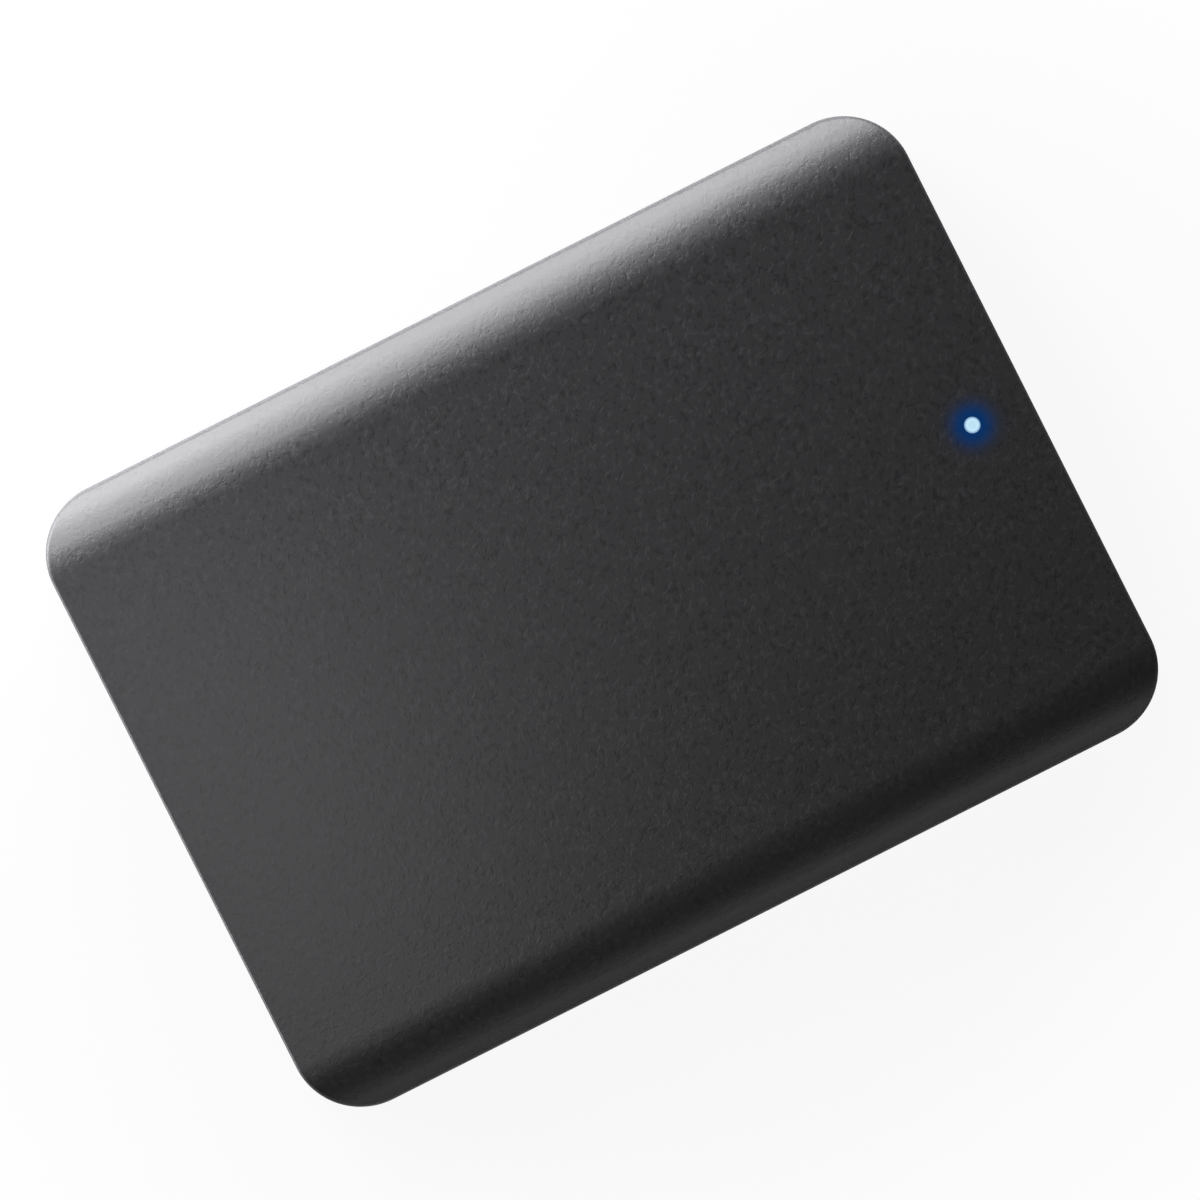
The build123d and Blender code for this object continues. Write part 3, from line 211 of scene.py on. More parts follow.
class Paint:
    """The nodes of a material or of the world, with short ways to add and join them."""

    def __init__(self, owner: bpy.types.Material | bpy.types.World) -> None:
        """Start with an empty node tree.

        Args:
            owner: The material or world that is painted.
        """
        self.owner = owner
        self.owner.use_nodes = True
        self.tree = self.owner.node_tree
        self.tree.nodes.clear()

    @classmethod
    def named(cls, name: str) -> Paint:
        """Paint of a new material."""
        return cls(bpy.data.materials.new(name))

    def node(
        self, kind: str, settings: dict[str, object] | None = None, links: dict | None = None
    ) -> Placed:
        """Add any node.

        Args:
            kind: Blender's type name of the node.
            settings: Properties of the node, set before its sockets.
            links: Socket name or number to a value, a socket, or a node's first output.

        Returns:
            The node that was added.
        """
        made = self.tree.nodes.new(kind)
        for key, setting in (settings or {}).items():
            setattr(made, key, setting)
        for name, given in (links or {}).items():
            source = given.socket if isinstance(given, Value) else given
            source = source.out() if isinstance(source, Placed) else source
            if isinstance(source, bpy.types.NodeSocket):
                self.tree.links.new(source, made.inputs[name])
            else:
                made.inputs[name].default_value = source
        return Placed(self, made)

    def ramp(self, factor: Value, stops: list[tuple[float, Colour]]) -> bpy.types.NodeSocket:
        """Colour ramp.

        Args:
            factor: Where on the ramp to read.
            stops: Places from 0 to 1 with their colours.

        Returns:
            The colour socket.
        """
        placed = self.node("ShaderNodeValToRGB", None, {"Fac": factor})
        elements = placed.node.color_ramp.elements
        while len(elements) < len(stops):
            elements.new(1.0)
        for element, (place, colour) in zip(elements, stops):
            element.position = place
            element.color = opaque(colour)
        return placed.out("Color")

    def place(self) -> bpy.types.NodeSocket:
        """Place in the piece's own space."""
        return self.node("ShaderNodeTexCoord").out("Object")

    def grain(
        self,
        size: float,
        detail: float = 2.0,
        distortion: float = 0.0,
        stretch: float = 1.0,
        lie: float = 0.0,
    ) -> Value:
        """Noise in the piece's own space.

        Args:
            size: Width of one grain in metres.
            detail: How many finer octaves are added.
            distortion: How much the grains are bent.
            stretch: Length of one grain, in widths.
            lie: Direction of the long grains in plan, in degrees from the Y axis.

        Returns:
            Noise from 0 to 1.
        """
        turned = {
            "Vector": self.place(),
            "Rotation": (0.0, 0.0, math.radians(lie)),
            "Scale": (1.0, stretch, 1.0),
        }
        links = {
            "Vector": self.node("ShaderNodeMapping", {"vector_type": "TEXTURE"}, turned),
            "Scale": 1.0 / size,
            "Detail": detail,
            "Distortion": distortion,
        }
        return self.node("ShaderNodeTexNoise", {"noise_dimensions": "3D"}, links).value("Fac")

    def distance_from(self, point: Vector) -> Value:
        """Distance in plan from a point of the piece's own space.

        Args:
            point: The point, in metres.

        Returns:
            The distance in metres.
        """
        links = {0: self.place(), 1: (1.0, 1.0, 0.0)}
        flat = self.node("ShaderNodeVectorMath", {"operation": "MULTIPLY"}, links)
        links = {0: flat, 1: (point.x, point.y, 0.0)}
        return self.node("ShaderNodeVectorMath", {"operation": "DISTANCE"}, links).value("Value")

    def depth_in_plan(self, outline: Outline) -> Value:
        """Distance in plan inside a rounded outline, for points near it.

        Args:
            outline: The outline, centred on the origin.

        Returns:
            The distance in metres, and the corner radius all over the middle.
        """
        parts = self.node("ShaderNodeSeparateXYZ", None, {0: self.place()})
        along = (abs(parts.value("X")) - (outline.half_length - outline.corner)).at_least(0.0)
        across = (abs(parts.value("Y")) - (outline.half_width - outline.corner)).at_least(0.0)
        return outline.corner - (along * along + across * across) ** 0.5

    def height(self) -> Value:
        """Height in the piece's own space, in metres."""
        return self.node("ShaderNodeSeparateXYZ", None, {0: self.place()}).value("Z")

    def bump(self, height: Value, depth: float) -> bpy.types.NodeSocket:
        """Bumped normal from a height.

        Args:
            height: Height from 0 to 1.
            depth: Depth of the relief in metres.

        Returns:
            The normal socket.
        """
        links = {"Height": height, "Distance": depth, "Strength": 1.0}
        return self.node("ShaderNodeBump", None, links).out("Normal")

    def surface(self, links: dict[str, object]) -> Placed:
        """Principled shader with the given socket values and links."""
        return self.node("ShaderNodeBsdfPrincipled", None, links)

    def close(self, shader: Placed) -> bpy.types.Material:
        """Join the shader to the output and give the finished material."""
        self.node("ShaderNodeOutputMaterial", None, {"Surface": shader.out()})
        return self.owner


def opaque(colour: Colour) -> tuple[float, float, float, float]:
    """Colour with full alpha, as a shader socket takes it."""
    return (*colour, 1.0)


@dataclass(frozen=True)
class Outline:
    """Rounded rectangle in plan, centred on the origin."""

    half_length: float
    half_width: float
    corner: float


@dataclass(frozen=True)
class Finish:
    """Look of a piece, which builds its own material."""

    name: str

    def material(self) -> bpy.types.Material:
        """Build the material."""
        raise NotImplementedError


@dataclass(frozen=True)
class MouldedPlastic(Finish):
    """Charcoal plastic with a fine moulded grain, painted darker in its pits as shade, and, on the top
    cover, a painted highlight along the rim and light spilling from the lens.
    """

    # The grain's tone follows its relief: colour in the pits, darkened there as painted shade, and pale on
    # the ridges.
    colour: Colour = (0.0165, 0.0165, 0.0178)
    pale: Colour = (0.0318, 0.0318, 0.0335)
    tone_start: float = 0.1
    tone_end: float = 0.9
    refraction: float = 1.5
    roughness: float = 0.38
    unevenness: float = 0.06
    sheen: float = 1.0
    matt_roughness: float = 0.7
    matt_sheen: float = 0.25
    matt_blend: float = 0.5
    matt_start: float = 0.31
    matt_range: float = 0.25
    matt_foot: float = 10.9 * MM
    matt_rise: float = 2.0 * MM
    stroke_width: float = 0.62 * MM
    stroke_length: float = 1.2
    stroke_bend: float = 0.6
    lie: float = CAMERA_TURN
    quiet: float = 0.08
    rise: float = 0.1
    patch_size: float = 2.6 * MM
    patch_low: float = 0.4
    patch_range: float = 1.2
    grain_depth: float = 0.0155 * MM
    # Painted highlight: with an outline given, the edge colour is painted in a thin pale band along the top
    # cover's rim, where it stands in for the rim's reflection.
    outline: Outline | None = None
    edge: Colour = (0.135, 0.135, 0.142)
    edge_start: float = 0.015 * MM
    edge_rise: float = 0.03 * MM
    edge_end: float = 0.12 * MM
    edge_fade: float = 0.25 * MM
    edge_foot: float = 9.0 * MM
    lens: Vector | None = None
    spill_colour: Colour = (0.003, 0.031, 0.125)
    spill_start: float = 1.12 * MM
    spill_reach: float = 1.4 * MM
    spill_roughness: float = 0.6

    def material(self) -> bpy.types.Material:
        """Build the material."""
        paint = Paint.named(self.name)
        strokes = paint.grain(self.stroke_width, 1.0, self.stroke_bend, self.stroke_length, self.lie)
        ridges = ((strokes - MIDDLE - self.quiet) / self.rise).clamped()
        pits = ((MIDDLE - self.quiet - strokes) / self.rise).clamped()
        patches = self.patch_low + paint.grain(self.patch_size, 1.0) * self.patch_range
        relief = MIDDLE + (ridges - pits) * patches * MIDDLE
        # Grain tone with painted shade: darker in the pits, paler on the ridges.
        tone = paint.ramp(relief, [(self.tone_start, self.colour), (self.tone_end, self.pale)])
        # Painted highlight: a thin pale band of the edge colour just inside the outline, on the upper part
        # of the top cover.
        if self.outline is not None:
            depth = paint.depth_in_plan(self.outline)
            outer = ((depth - self.edge_start) / self.edge_rise).clamped()
            inner = ((depth - self.edge_end) / self.edge_fade).clamped()
            above = ((paint.height() - self.edge_foot) / self.edge_rise).clamped()
            links = {0: outer * (1.0 - inner) * above, 6: tone, 7: opaque(self.edge)}
            tone = paint.node("ShaderNodeMix", {"data_type": "RGBA"}, links).out(2)
        normal = paint.bump(relief, self.grain_depth)
        skin = {"Base Color": tone, "IOR": self.refraction, "Normal": normal}
        gloss = self.roughness + (relief - MIDDLE) * self.unevenness
        satin = paint.surface({**skin, "Roughness": gloss, "Specular IOR Level": self.sheen})
        dull = self.matt_roughness
        matt = paint.surface({**skin, "Roughness": dull, "Specular IOR Level": self.matt_sheen})
        facing = paint.node("ShaderNodeLayerWeight", None, {"Blend": self.matt_blend}).value("Facing")
        slant = ((facing - self.matt_start) / self.matt_range).clamped()
        upper = ((paint.height() - self.matt_foot) / self.matt_rise).clamped()
        plastic = paint.node("ShaderNodeMixShader", None, {0: slant * upper, 1: satin, 2: matt})
        if self.lens is None:
            return paint.close(plastic)
        spread = (paint.distance_from(self.lens) - self.spill_start).at_least(0.0) / self.spill_reach
        share = (spread * spread * -1.0).exp()
        lit = paint.surface(
            {
                "Base Color": opaque(BLACK),
                "Roughness": self.spill_roughness,
                "Specular IOR Level": 0.0,
                "Emission Color": opaque(self.spill_colour),
                "Emission Strength": 1.0,
            }
        )
        return paint.close(paint.node("ShaderNodeMixShader", None, {0: share, 1: plastic, 2: lit}))


@dataclass(frozen=True)
class LitLens(Finish):
    """Clear plastic end of the light pipe, lit from below."""

    centre: Vector
    radius: float
    core: Colour = (0.49, 0.74, 0.87)
    rim: Colour = (0.56, 0.81, 0.98)
    edge: Colour = (0.2, 0.36, 0.55)
    core_end: float = 0.45
    rim_end: float = 0.72
    body: Colour = (0.02, 0.03, 0.04)
    roughness: float = 0.35

    def material(self) -> bpy.types.Material:
        """Build the material."""
        paint = Paint.named(self.name)
        spread = paint.distance_from(self.centre) / self.radius
        stops = [(self.core_end, self.core), (self.rim_end, self.rim), (1.0, self.edge)]
        return paint.close(
            paint.surface(
                {
                    "Base Color": opaque(self.body),
                    "Roughness": self.roughness,
                    "Emission Color": paint.ramp(spread, stops),
                    "Emission Strength": 1.0,
                }
            )
        )


@dataclass(frozen=True)
class Toothed(Finish):
    """Plain rubber, resin, film, board or metal with a fine tooth in its tone, gloss and relief."""

    colour: Colour
    roughness: float = 0.6
    tooth: float = 0.35 * MM
    relief: float = 0.006 * MM
    unevenness: float = 0.15
    shade: float = 0.82
    detail: float = 2.5
    metallic: float = 0.0

    @classmethod
    def metal(cls, name: str, colour: Colour, roughness: float) -> Toothed:
        """Metal, whose tooth is weaker the smoother it is."""
        uneven = METAL_UNEVENNESS * roughness
        relief = METAL_RELIEF * roughness
        return cls(name, colour, roughness, METAL_TOOTH, relief, uneven, 1.0 - uneven, METAL_DETAIL, 1.0)

    def material(self) -> bpy.types.Material:
        """Build the material."""
        paint = Paint.named(self.name)
        noise = paint.grain(self.tooth, self.detail)
        dark = tuple(self.shade * part for part in self.colour)
        return paint.close(
            paint.surface(
                {
                    "Base Color": paint.ramp(noise, [(TOOTH_START, dark), (TOOTH_END, self.colour)]),
                    "Metallic": self.metallic,
                    "Roughness": self.roughness + (noise - MIDDLE) * self.unevenness,
                    "Normal": paint.bump(noise, self.relief),
                }
            )
        )


class Bench:
    """Modelling steps on one mesh at a time, as they are done by hand."""

    @staticmethod
    def only(piece: bpy.types.Object) -> None:
        """Leave edit mode and make a piece the only selected one, and the active one."""
        if bpy.context.mode != "OBJECT":
            bpy.ops.object.mode_set(mode="OBJECT")
        bpy.ops.object.select_all(action="DESELECT")
        piece.select_set(True)
        bpy.context.view_layer.objects.active = piece

    @classmethod
    def block(cls, name: str, low: Vector, high: Vector) -> bpy.types.Object:
        """Add a box between two corners.

        Args:
            name: Name of the piece.
            low: Lowest corner.
            high: Highest corner.

        Returns:
            The box, with its place in its mesh.
        """
        bpy.ops.object.select_all(action="DESELECT")
        bpy.ops.mesh.primitive_cube_add(size=1.0, location=(low + high) / 2, scale=high - low)
        return cls._settle(name)

    @classmethod
    def rod(
        cls, name: str, foot: Vector, radius: float, height: float, sides: int = 64
    ) -> bpy.types.Object:
        """Add an upright cylinder.

        Args:
            name: Name of the piece.
            foot: Centre of the lower end.
            radius: Radius.
            height: Height.
            sides: Number of sides.

        Returns:
            The cylinder, with its place in its mesh.
        """
        bpy.ops.object.select_all(action="DESELECT")
        middle = foot + Vector((0.0, 0.0, height / 2))
        bpy.ops.mesh.primitive_cylinder_add(vertices=sides, radius=radius, depth=height, location=middle)
        return cls._settle(name)

    @staticmethod
    def _settle(name: str) -> bpy.types.Object:
        """Name the new primitive and move its place into its mesh."""
        bpy.ops.object.transform_apply(location=True, rotation=True, scale=True)
        piece = bpy.context.active_object
        piece.name = name
        piece.data.name = name
        return piece

    @classmethod
    def _pick(cls, piece: bpy.types.Object, kind: str, collection: str, test: Callable[..., bool]) -> None:
        """Select parts of a mesh by a test, and stay in edit mode.

        Args:
            piece: The piece.
            kind: EDGE or FACE.
            collection: Name of the mesh's collection of these parts.
            test: Says of a part whether it is selected.
        """
        cls.only(piece)
        bpy.ops.object.mode_set(mode="EDIT")
        bpy.ops.mesh.select_mode(type=kind)
        bpy.ops.mesh.select_all(action="DESELECT")
        bpy.ops.object.mode_set(mode="OBJECT")
        for part in getattr(piece.data, collection):
            part.select = test(part)
        bpy.ops.object.mode_set(mode="EDIT")

    @classmethod
    def pick_edges(cls, piece: bpy.types.Object, test: Test) -> None:
        """Select edges by a test of the places of their two ends, and stay in edit mode."""

        def picked(edge: bpy.types.MeshEdge) -> bool:
            first, second = (piece.data.vertices[end].co for end in edge.vertices)
            return test(first, second)

        cls._pick(piece, "EDGE", "edges", picked)

    @classmethod
    def pick_faces(cls, piece: bpy.types.Object, test: Test) -> None:
        """Select faces by a test of their middle and normal, and stay in edit mode."""
        cls._pick(piece, "FACE", "polygons", lambda face: test(face.center, face.normal))

    @classmethod
    def round_edges(cls, piece: bpy.types.Object, radius: float, steps: int, test: Test) -> None:
        """Round the edges that a test picks.

        Args:
            piece: The piece.
            radius: Radius of the rounding.
            steps: Faces across the rounding.
            test: Says of an edge's two ends whether it is rounded.
        """
        cls.pick_edges(piece, test)
        bpy.ops.mesh.bevel(offset=radius, segments=steps, profile=0.5, affect="EDGES", clamp_overlap=True)
        bpy.ops.object.mode_set(mode="OBJECT")

    @classmethod
    def combine(cls, piece: bpy.types.Object, tool: bpy.types.Object, how: Solver) -> None:
        """Cut or join a piece with a tool, which is used up.

        Args:
            piece: The piece that stays.
            tool: The piece that is used up.
            how: What is done.
        """
        cls.only(piece)
        step = piece.modifiers.new("step", "BOOLEAN")
        step.object = tool
        step.operation = how.value
        step.solver = "EXACT"
        bpy.ops.object.modifier_apply(modifier=step.name)
        bpy.data.objects.remove(tool, do_unlink=True)

    @classmethod
    def clean(cls, piece: bpy.types.Object, distance: float = 0.012 * MM) -> None:
        """Merge points that lie together and turn all faces outwards."""
        cls.only(piece)
        bpy.ops.object.mode_set(mode="EDIT")
        bpy.ops.mesh.select_all(action="SELECT")
        bpy.ops.mesh.remove_doubles(threshold=distance)
        bpy.ops.mesh.normals_make_consistent(inside=False)
        bpy.ops.object.mode_set(mode="OBJECT")

    @classmethod
    def smooth(cls, piece: bpy.types.Object, angle: float = 30.0) -> None:
        """Shade smooth up to an angle in degrees, with flat faces kept flat."""
        cls.only(piece)
        bpy.ops.object.shade_smooth_by_angle(angle=math.radians(angle))
        step = piece.modifiers.new("flat_faces", "WEIGHTED_NORMAL")
        step.keep_sharp = True
        step.weight = 100
        bpy.ops.object.modifier_apply(modifier=step.name)


def dress(piece: bpy.types.Object, material: bpy.types.Material) -> None:
    """Give a piece one material all over."""
    piece.data.materials.clear()
    piece.data.materials.append(material)


def place(piece: bpy.types.Object, finish: Finish, body: Body, slot: str, *nodes: str) -> None:
    """Dress a finished piece, let it ride on a body and hide the solids that it stands for.

    Args:
        piece: The piece.
        finish: Its look.
        body: The body that it moves with.
        slot: The record's material slot; not used.
        nodes: The solids that it replaces.
    """
    Bench.smooth(piece)
    dress(piece, finish.material())
    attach(piece, body.value)
    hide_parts(*nodes)
    LOG.info("%s stands for %s: %d faces", piece.name, ", ".join(nodes), len(piece.data.polygons))


@dataclass
class Case:
    """The two moulded covers of the case."""

    wall: float = 1.5 * MM
    corner: float = 8.2 * MM
    shoulder_angle: float = 45.0
    rim_round: float = 0.45 * MM
    seam_round: float = 0.12 * MM
    lens_hole_round: float = 0.06 * MM
    slot_room: float = 0.3 * MM
    slot_corner: float = 0.6 * MM
    slot_steps: int = 6
    lip: float = 0.6 * MM
    lip_height: float = 1.1 * MM
    fit: float = 0.05 * MM
    corner_steps: int = 24
    rim_steps: int = 5
    shoulder_steps: int = 11
    hair: float = 0.002 * MM
    shoulder: dict[Half, float] = field(
        default_factory=lambda: {Half.TOP: 8.2 * MM, Half.BOTTOM: 5.0 * MM}
    )
    low: Vector = field(init=False)
    high: Vector = field(init=False)
    parting: float = field(init=False)

    def __post_init__(self) -> None:
        """Read the case's box and parting line from the solids."""
        self.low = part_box("bottom_cover")[0]
        self.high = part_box("top_cover")[1]
        self.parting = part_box("top_cover")[0].z

    def plan(self, name: str, inset: float, bottom: float, top: float) -> bpy.types.Object:
        """Block with the case's rounded plan.

        Args:
            name: Name of the block.
            inset: How far the plan is drawn in.
            bottom: Lowest height.
            top: Highest height.

        Returns:
            The block.
        """
        low = Vector((self.low.x + inset, self.low.y + inset, bottom))
        high = Vector((self.high.x - inset, self.high.y - inset, top))
        block = Bench.block(name, low, high)
        half = (top - bottom) / 2
        radius = self.corner - inset
        Bench.round_edges(block, radius, self.corner_steps, lambda a, b: abs(a.z - b.z) > half)
        return block

    def depth_inside(self, point: Vector, inset: float) -> tuple[float, float]:
        """Where a point lies inside the plan.

        Args:
            point: The point.
            inset: How far the plan is drawn in.

        Returns:
            Its distance from the outline, and how much the outline there faces along Y.
        """
        radius = self.corner - inset
        across = abs(point.x) - (self.high.x - self.corner)
        along = abs(point.y) - (self.high.y - self.corner)
        if across > 0 and along > 0:
            reach = math.hypot(across, along)
            return radius - reach, along / reach
        return min((radius - across, 0.0), (radius - along, 1.0))

    def drop(self, half: Half, distance: float, inset: float) -> float:
        """How far a cover's shoulder lies below its flat face.

        Args:
            half: The cover.
            distance: Distance from the middle line along Y.
            inset: How far the form is drawn in.

        Returns:
            The drop.
        """
        width = self.shoulder[half]
        radius = width / math.sin(math.radians(self.shoulder_angle)) - inset
        across = max(distance - (self.high.y - width), 0.0)
        return radius - math.sqrt(radius**2 - across**2)

    def lowered(self, half: Half, point: Vector, inset: float, rim: float) -> float:
        """How far a point of a cover's outer face lies below its flat part.

        Args:
            half: The cover.
            point: The point.
            inset: How far the form is drawn in.
            rim: Width of the rounded rim, or 0 for a sharp one.

        Returns:
            The drop, with the rim rounded from the wall to the face.
        """
        depth, facing = self.depth_inside(point, inset)
        if depth >= rim - self.hair:
            return self.drop(half, abs(point.y), inset)
        share = math.sqrt(max(depth, 0.0) / rim)
        outline = abs(point.y) + depth * facing
        edge = self.drop(half, outline, inset)
        inner = self.drop(half, outline - rim * facing, inset)
        wall = edge + rim
        return (1 - share) ** 2 * wall + 2 * share * (1 - share) * edge + share**2 * inner

    def form(self, half: Half, inset: float, rim: float, spare: float) -> bpy.types.Object:
        """Solid of one cover's outer shape.

        Args:
            half: The cover.
            inset: How far the form is drawn in.
            rim: Width of the rounded rim, or 0 for a sharp one.
            spare: How far the solid runs past the parting line.

        Returns:
            The solid.
        """
        face = self.high.z - inset if half is Half.TOP else self.low.z + inset
        sign = 1 if half is Half.TOP else -1
        start = self.parting - sign * spare
        form = self.plan(f"{half.value}_form", inset, min(start, face), max(start, face))
        Bench.pick_faces(form, lambda middle, normal: normal.z * sign > UPRIGHT)
        rings = [rim * (step / self.rim_steps) ** 2 for step in range(self.rim_steps + 1)]
        if rim > 0:
            for last, ring in zip(rings, rings[1:]):
                bpy.ops.mesh.inset(thickness=ring - last)
        radius = self.shoulder[half] / math.sin(math.radians(self.shoulder_angle))
        flat = self.high.y - self.shoulder[half]
        for step in range(self.shoulder_steps):
            angle = self.shoulder_angle * step / self.shoulder_steps
            crease = flat + radius * math.sin(math.radians(angle))
            for side in (-crease, crease):
                Bench.pick_faces(form, lambda middle, normal: normal.z * sign > UPRIGHT)
                bpy.ops.mesh.bisect(plane_co=(0.0, side, 0.0), plane_no=(0.0, 1.0, 0.0))
        bpy.ops.object.mode_set(mode="OBJECT")
        for point in form.data.vertices:
            if abs(point.co.z - face) < self.hair:
                point.co.z -= sign * self.lowered(half, point.co, inset, rim)
        return form

    def shell(self, half: Half) -> bpy.types.Object:
        """One cover as a hollow shell, open at the parting line."""
        shell = self.form(half, 0.0, self.rim_round, 0.0)

        def seam(a: Vector, b: Vector) -> bool:
            return max(abs(a.z - self.parting), abs(b.z - self.parting)) < self.hair

        Bench.round_edges(shell, self.seam_round, FINE_STEPS, seam)
        Bench.combine(shell, self.form(half, self.wall, 0.0, self.wall), Solver.CUT)
        return shell

    def socket_slot(self) -> bpy.types.Object:
        """Block that cuts the slot in front of the socket."""
        low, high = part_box("socket_shell")
        room = Vector((self.slot_room, self.slot_room, self.slot_room))
        low = low - room
        high = high + room
        low.x = self.high.x - 2 * self.wall
        high.x = self.high.x + self.wall
        block = Bench.block("slot", low, high)
        Bench.round_edges(block, self.slot_corner, self.slot_steps, lambda a, b: abs(a.x - b.x) > self.wall)
        return block

    def lip_ring(self, outward: float, height: float) -> bpy.types.Object:
        """Block of the lip's outline that rises from the parting line."""
        return self.plan("lip", self.wall - self.lip - outward, self.parting, self.parting + height)

    def build_top(self) -> bpy.types.Object:
        """Top cover with its rebate, the lens hole and its part of the slot."""
        cover = self.shell(Half.TOP)
        Bench.combine(cover, self.lip_ring(self.fit, self.lip_height + self.fit), Solver.CUT)
        Bench.combine(cover, self.socket_slot(), Solver.CUT)
        light = StatusLight()
        hole = light.lens_radius + self.fit
        foot = light.centre() - Vector((0.0, 0.0, 2 * self.wall))
        Bench.combine(cover, Bench.rod("hole", foot, hole, 3 * self.wall), Solver.CUT)
        Bench.clean(cover)

        def hole_edge(a: Vector, b: Vector) -> bool:
            near = max(math.hypot(p.x - foot.x, p.y - foot.y) for p in (a, b)) < hole + 2 * NEAR
            return near and min(a.z, b.z) > self.high.z - self.hair

        Bench.round_edges(cover, self.lens_hole_round, FINE_STEPS, hole_edge)
        cover.name = "top_cover_moulding"
        return cover

    def build_bottom(self) -> bpy.types.Object:
        """Bottom cover with its lip, the seats of the feet and its part of the slot."""
        cover = self.shell(Half.BOTTOM)
        ring = self.lip_ring(0.0, self.lip_height)
        bore = self.plan("bore", self.wall, self.low.z, self.high.z)
        Bench.combine(ring, bore, Solver.CUT)
        Bench.combine(cover, ring, Solver.JOIN)
        Bench.combine(cover, self.socket_slot(), Solver.CUT)
        feet = Feet()
        for spot in feet.spots():
            under = spot - Vector((0.0, 0.0, feet.top))
            seat = Bench.rod("seat", under, feet.radius + self.fit, 2 * feet.top)
            Bench.combine(cover, seat, Solver.CUT)
        Bench.clean(cover)
        cover.name = "bottom_cover_moulding"
        return cover

    def build(self) -> None:
        """Model and dress both covers."""
        outline = Outline(self.high.x, self.high.y, self.corner)
        finish = MouldedPlastic("top_cover_plastic", outline=outline, lens=StatusLight().centre())
        place(self.build_top(), finish, Body.CASE, "case_plastic", "top_cover")
        finish = MouldedPlastic("bottom_cover_plastic")
        place(self.build_bottom(), finish, Body.CASE, "case_plastic", "bottom_cover")


@dataclass
class StatusLight:
    """The light pipe, whose round end shows in the top cover."""

    lens_radius: float = 0.9 * MM
    lens_round: float = 0.16 * MM
    lens_steps: int = 5
    flange_radius: float = 1.8 * MM
    leg_radius: float = 0.9 * MM
    bar_width: float = 1.8 * MM
    bar_height: float = 1.3 * MM
    bar_round: float = 0.1 * MM
    leg_gap: float = 0.02 * MM
    cover: float = 1.5 * MM

    def centre(self) -> Vector:
        """Middle of the lens, at the cover's face."""
        low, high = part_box("light_pipe")
        return Vector((low.x + self.flange_radius, high.y - self.flange_radius, high.z))

    def leg_foot(self) -> Vector:
        """Lower end of the leg, above the lamp on the board."""
        low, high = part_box("light_pipe")
        return Vector((high.x - self.leg_radius, low.y + self.leg_radius, low.z))

    def bar(self) -> bpy.types.Object:
        """Flat bar that leads the light from the leg to the lens."""
        end = self.centre()
        start = self.leg_foot()
        run = Vector((end.x - start.x, end.y - start.y))
        half = Vector((run.length / 2, self.bar_width / 2, self.bar_height / 2))
        bar = Bench.block("bar", -half, half)
        Bench.round_edges(bar, self.bar_round, FINE_STEPS, lambda a, b: abs(a.x - b.x) > half.x)
        bar.rotation_euler.z = math.atan2(run.y, run.x)
        middle = end.z - self.cover - self.bar_height / 2
        bar.location = ((start.x + end.x) / 2, (start.y + end.y) / 2, middle)
        Bench.only(bar)
        bpy.ops.object.transform_apply(location=True, rotation=True, scale=True)
        return bar

    def build(self) -> None:
        """Model and dress the light pipe."""
        centre = self.centre()
        under = centre - Vector((0.0, 0.0, self.cover + self.bar_height))
        pipe = Bench.rod("light_pipe_clear", under, self.lens_radius, centre.z - under.z)
        rim = centre.z - NEAR
        Bench.round_edges(pipe, self.lens_round, self.lens_steps, lambda a, b: min(a.z, b.z) > rim)
        Bench.combine(pipe, Bench.rod("flange", under, self.flange_radius, self.bar_height), Solver.JOIN)
        Bench.combine(pipe, self.bar(), Solver.JOIN)
        foot = self.leg_foot()
        height = centre.z - self.cover - foot.z - self.leg_gap
        Bench.combine(pipe, Bench.rod("leg", foot, self.leg_radius, height), Solver.JOIN)
        Bench.clean(pipe)
        finish = LitLens("lit_lens", centre, self.lens_radius)
        place(pipe, finish, Body.CASE, "lens_plastic", "light_pipe")


@dataclass
class Feet:
    """Four rubber feet under the bottom cover."""

    radius: float = 4.0 * MM
    edge_round: float = 0.28 * MM
    edge_steps: int = 4
    dish: float = 0.8 * MM
    dish_depth: float = 0.1 * MM
    sides: int = 72
    rubber: Finish = Toothed("foot_rubber_matt", (0.012, 0.012, 0.0125), 0.8, 0.25 * MM, 0.01 * MM)

    @property
    def top(self) -> float:
        """Height of the upper face of the feet."""
        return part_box("rubber_feet")[1].z

    def spots(self) -> list[Vector]:
        """Centres of the feet on the ground."""
        low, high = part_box("rubber_feet")
        across = (low.x + self.radius, high.x - self.radius)
        along = (low.y + self.radius, high.y - self.radius)
        return [Vector((x, y, 0.0)) for x in across for y in along]

    def foot(self, spot: Vector) -> bpy.types.Object:
        """One foot: a disc with a rounded tread and a shallow dish."""
        foot = Bench.rod("foot", spot, self.radius, self.top, self.sides)
        Bench.pick_edges(foot, lambda a, b: max(a.z, b.z) < NEAR)
        bpy.ops.mesh.select_mode(type="FACE")
        bpy.ops.mesh.inset(thickness=self.dish)
        bpy.ops.mesh.inset(thickness=self.dish_depth)
        bpy.ops.transform.translate(value=(0.0, 0.0, self.dish_depth))
        bpy.ops.object.mode_set(mode="OBJECT")

        def tread(a: Vector, b: Vector) -> bool:
            near = min((p.xy - spot.xy).length for p in (a, b)) > self.radius - NEAR
            return near and max(a.z, b.z) < NEAR

        Bench.round_edges(foot, self.edge_round, self.edge_steps, tread)
        return foot

    def build(self) -> None:
        """Model and dress the four feet."""
        feet = [self.foot(spot) for spot in self.spots()]
        Bench.only(feet[0])
        for foot in feet:
            foot.select_set(True)
        bpy.ops.object.join()
        pads = bpy.context.active_object
        pads.name = "rubber_feet_pads"
        Bench.clean(pads)
        place(pads, self.rubber, Body.CASE, "foot_rubber", "rubber_feet")


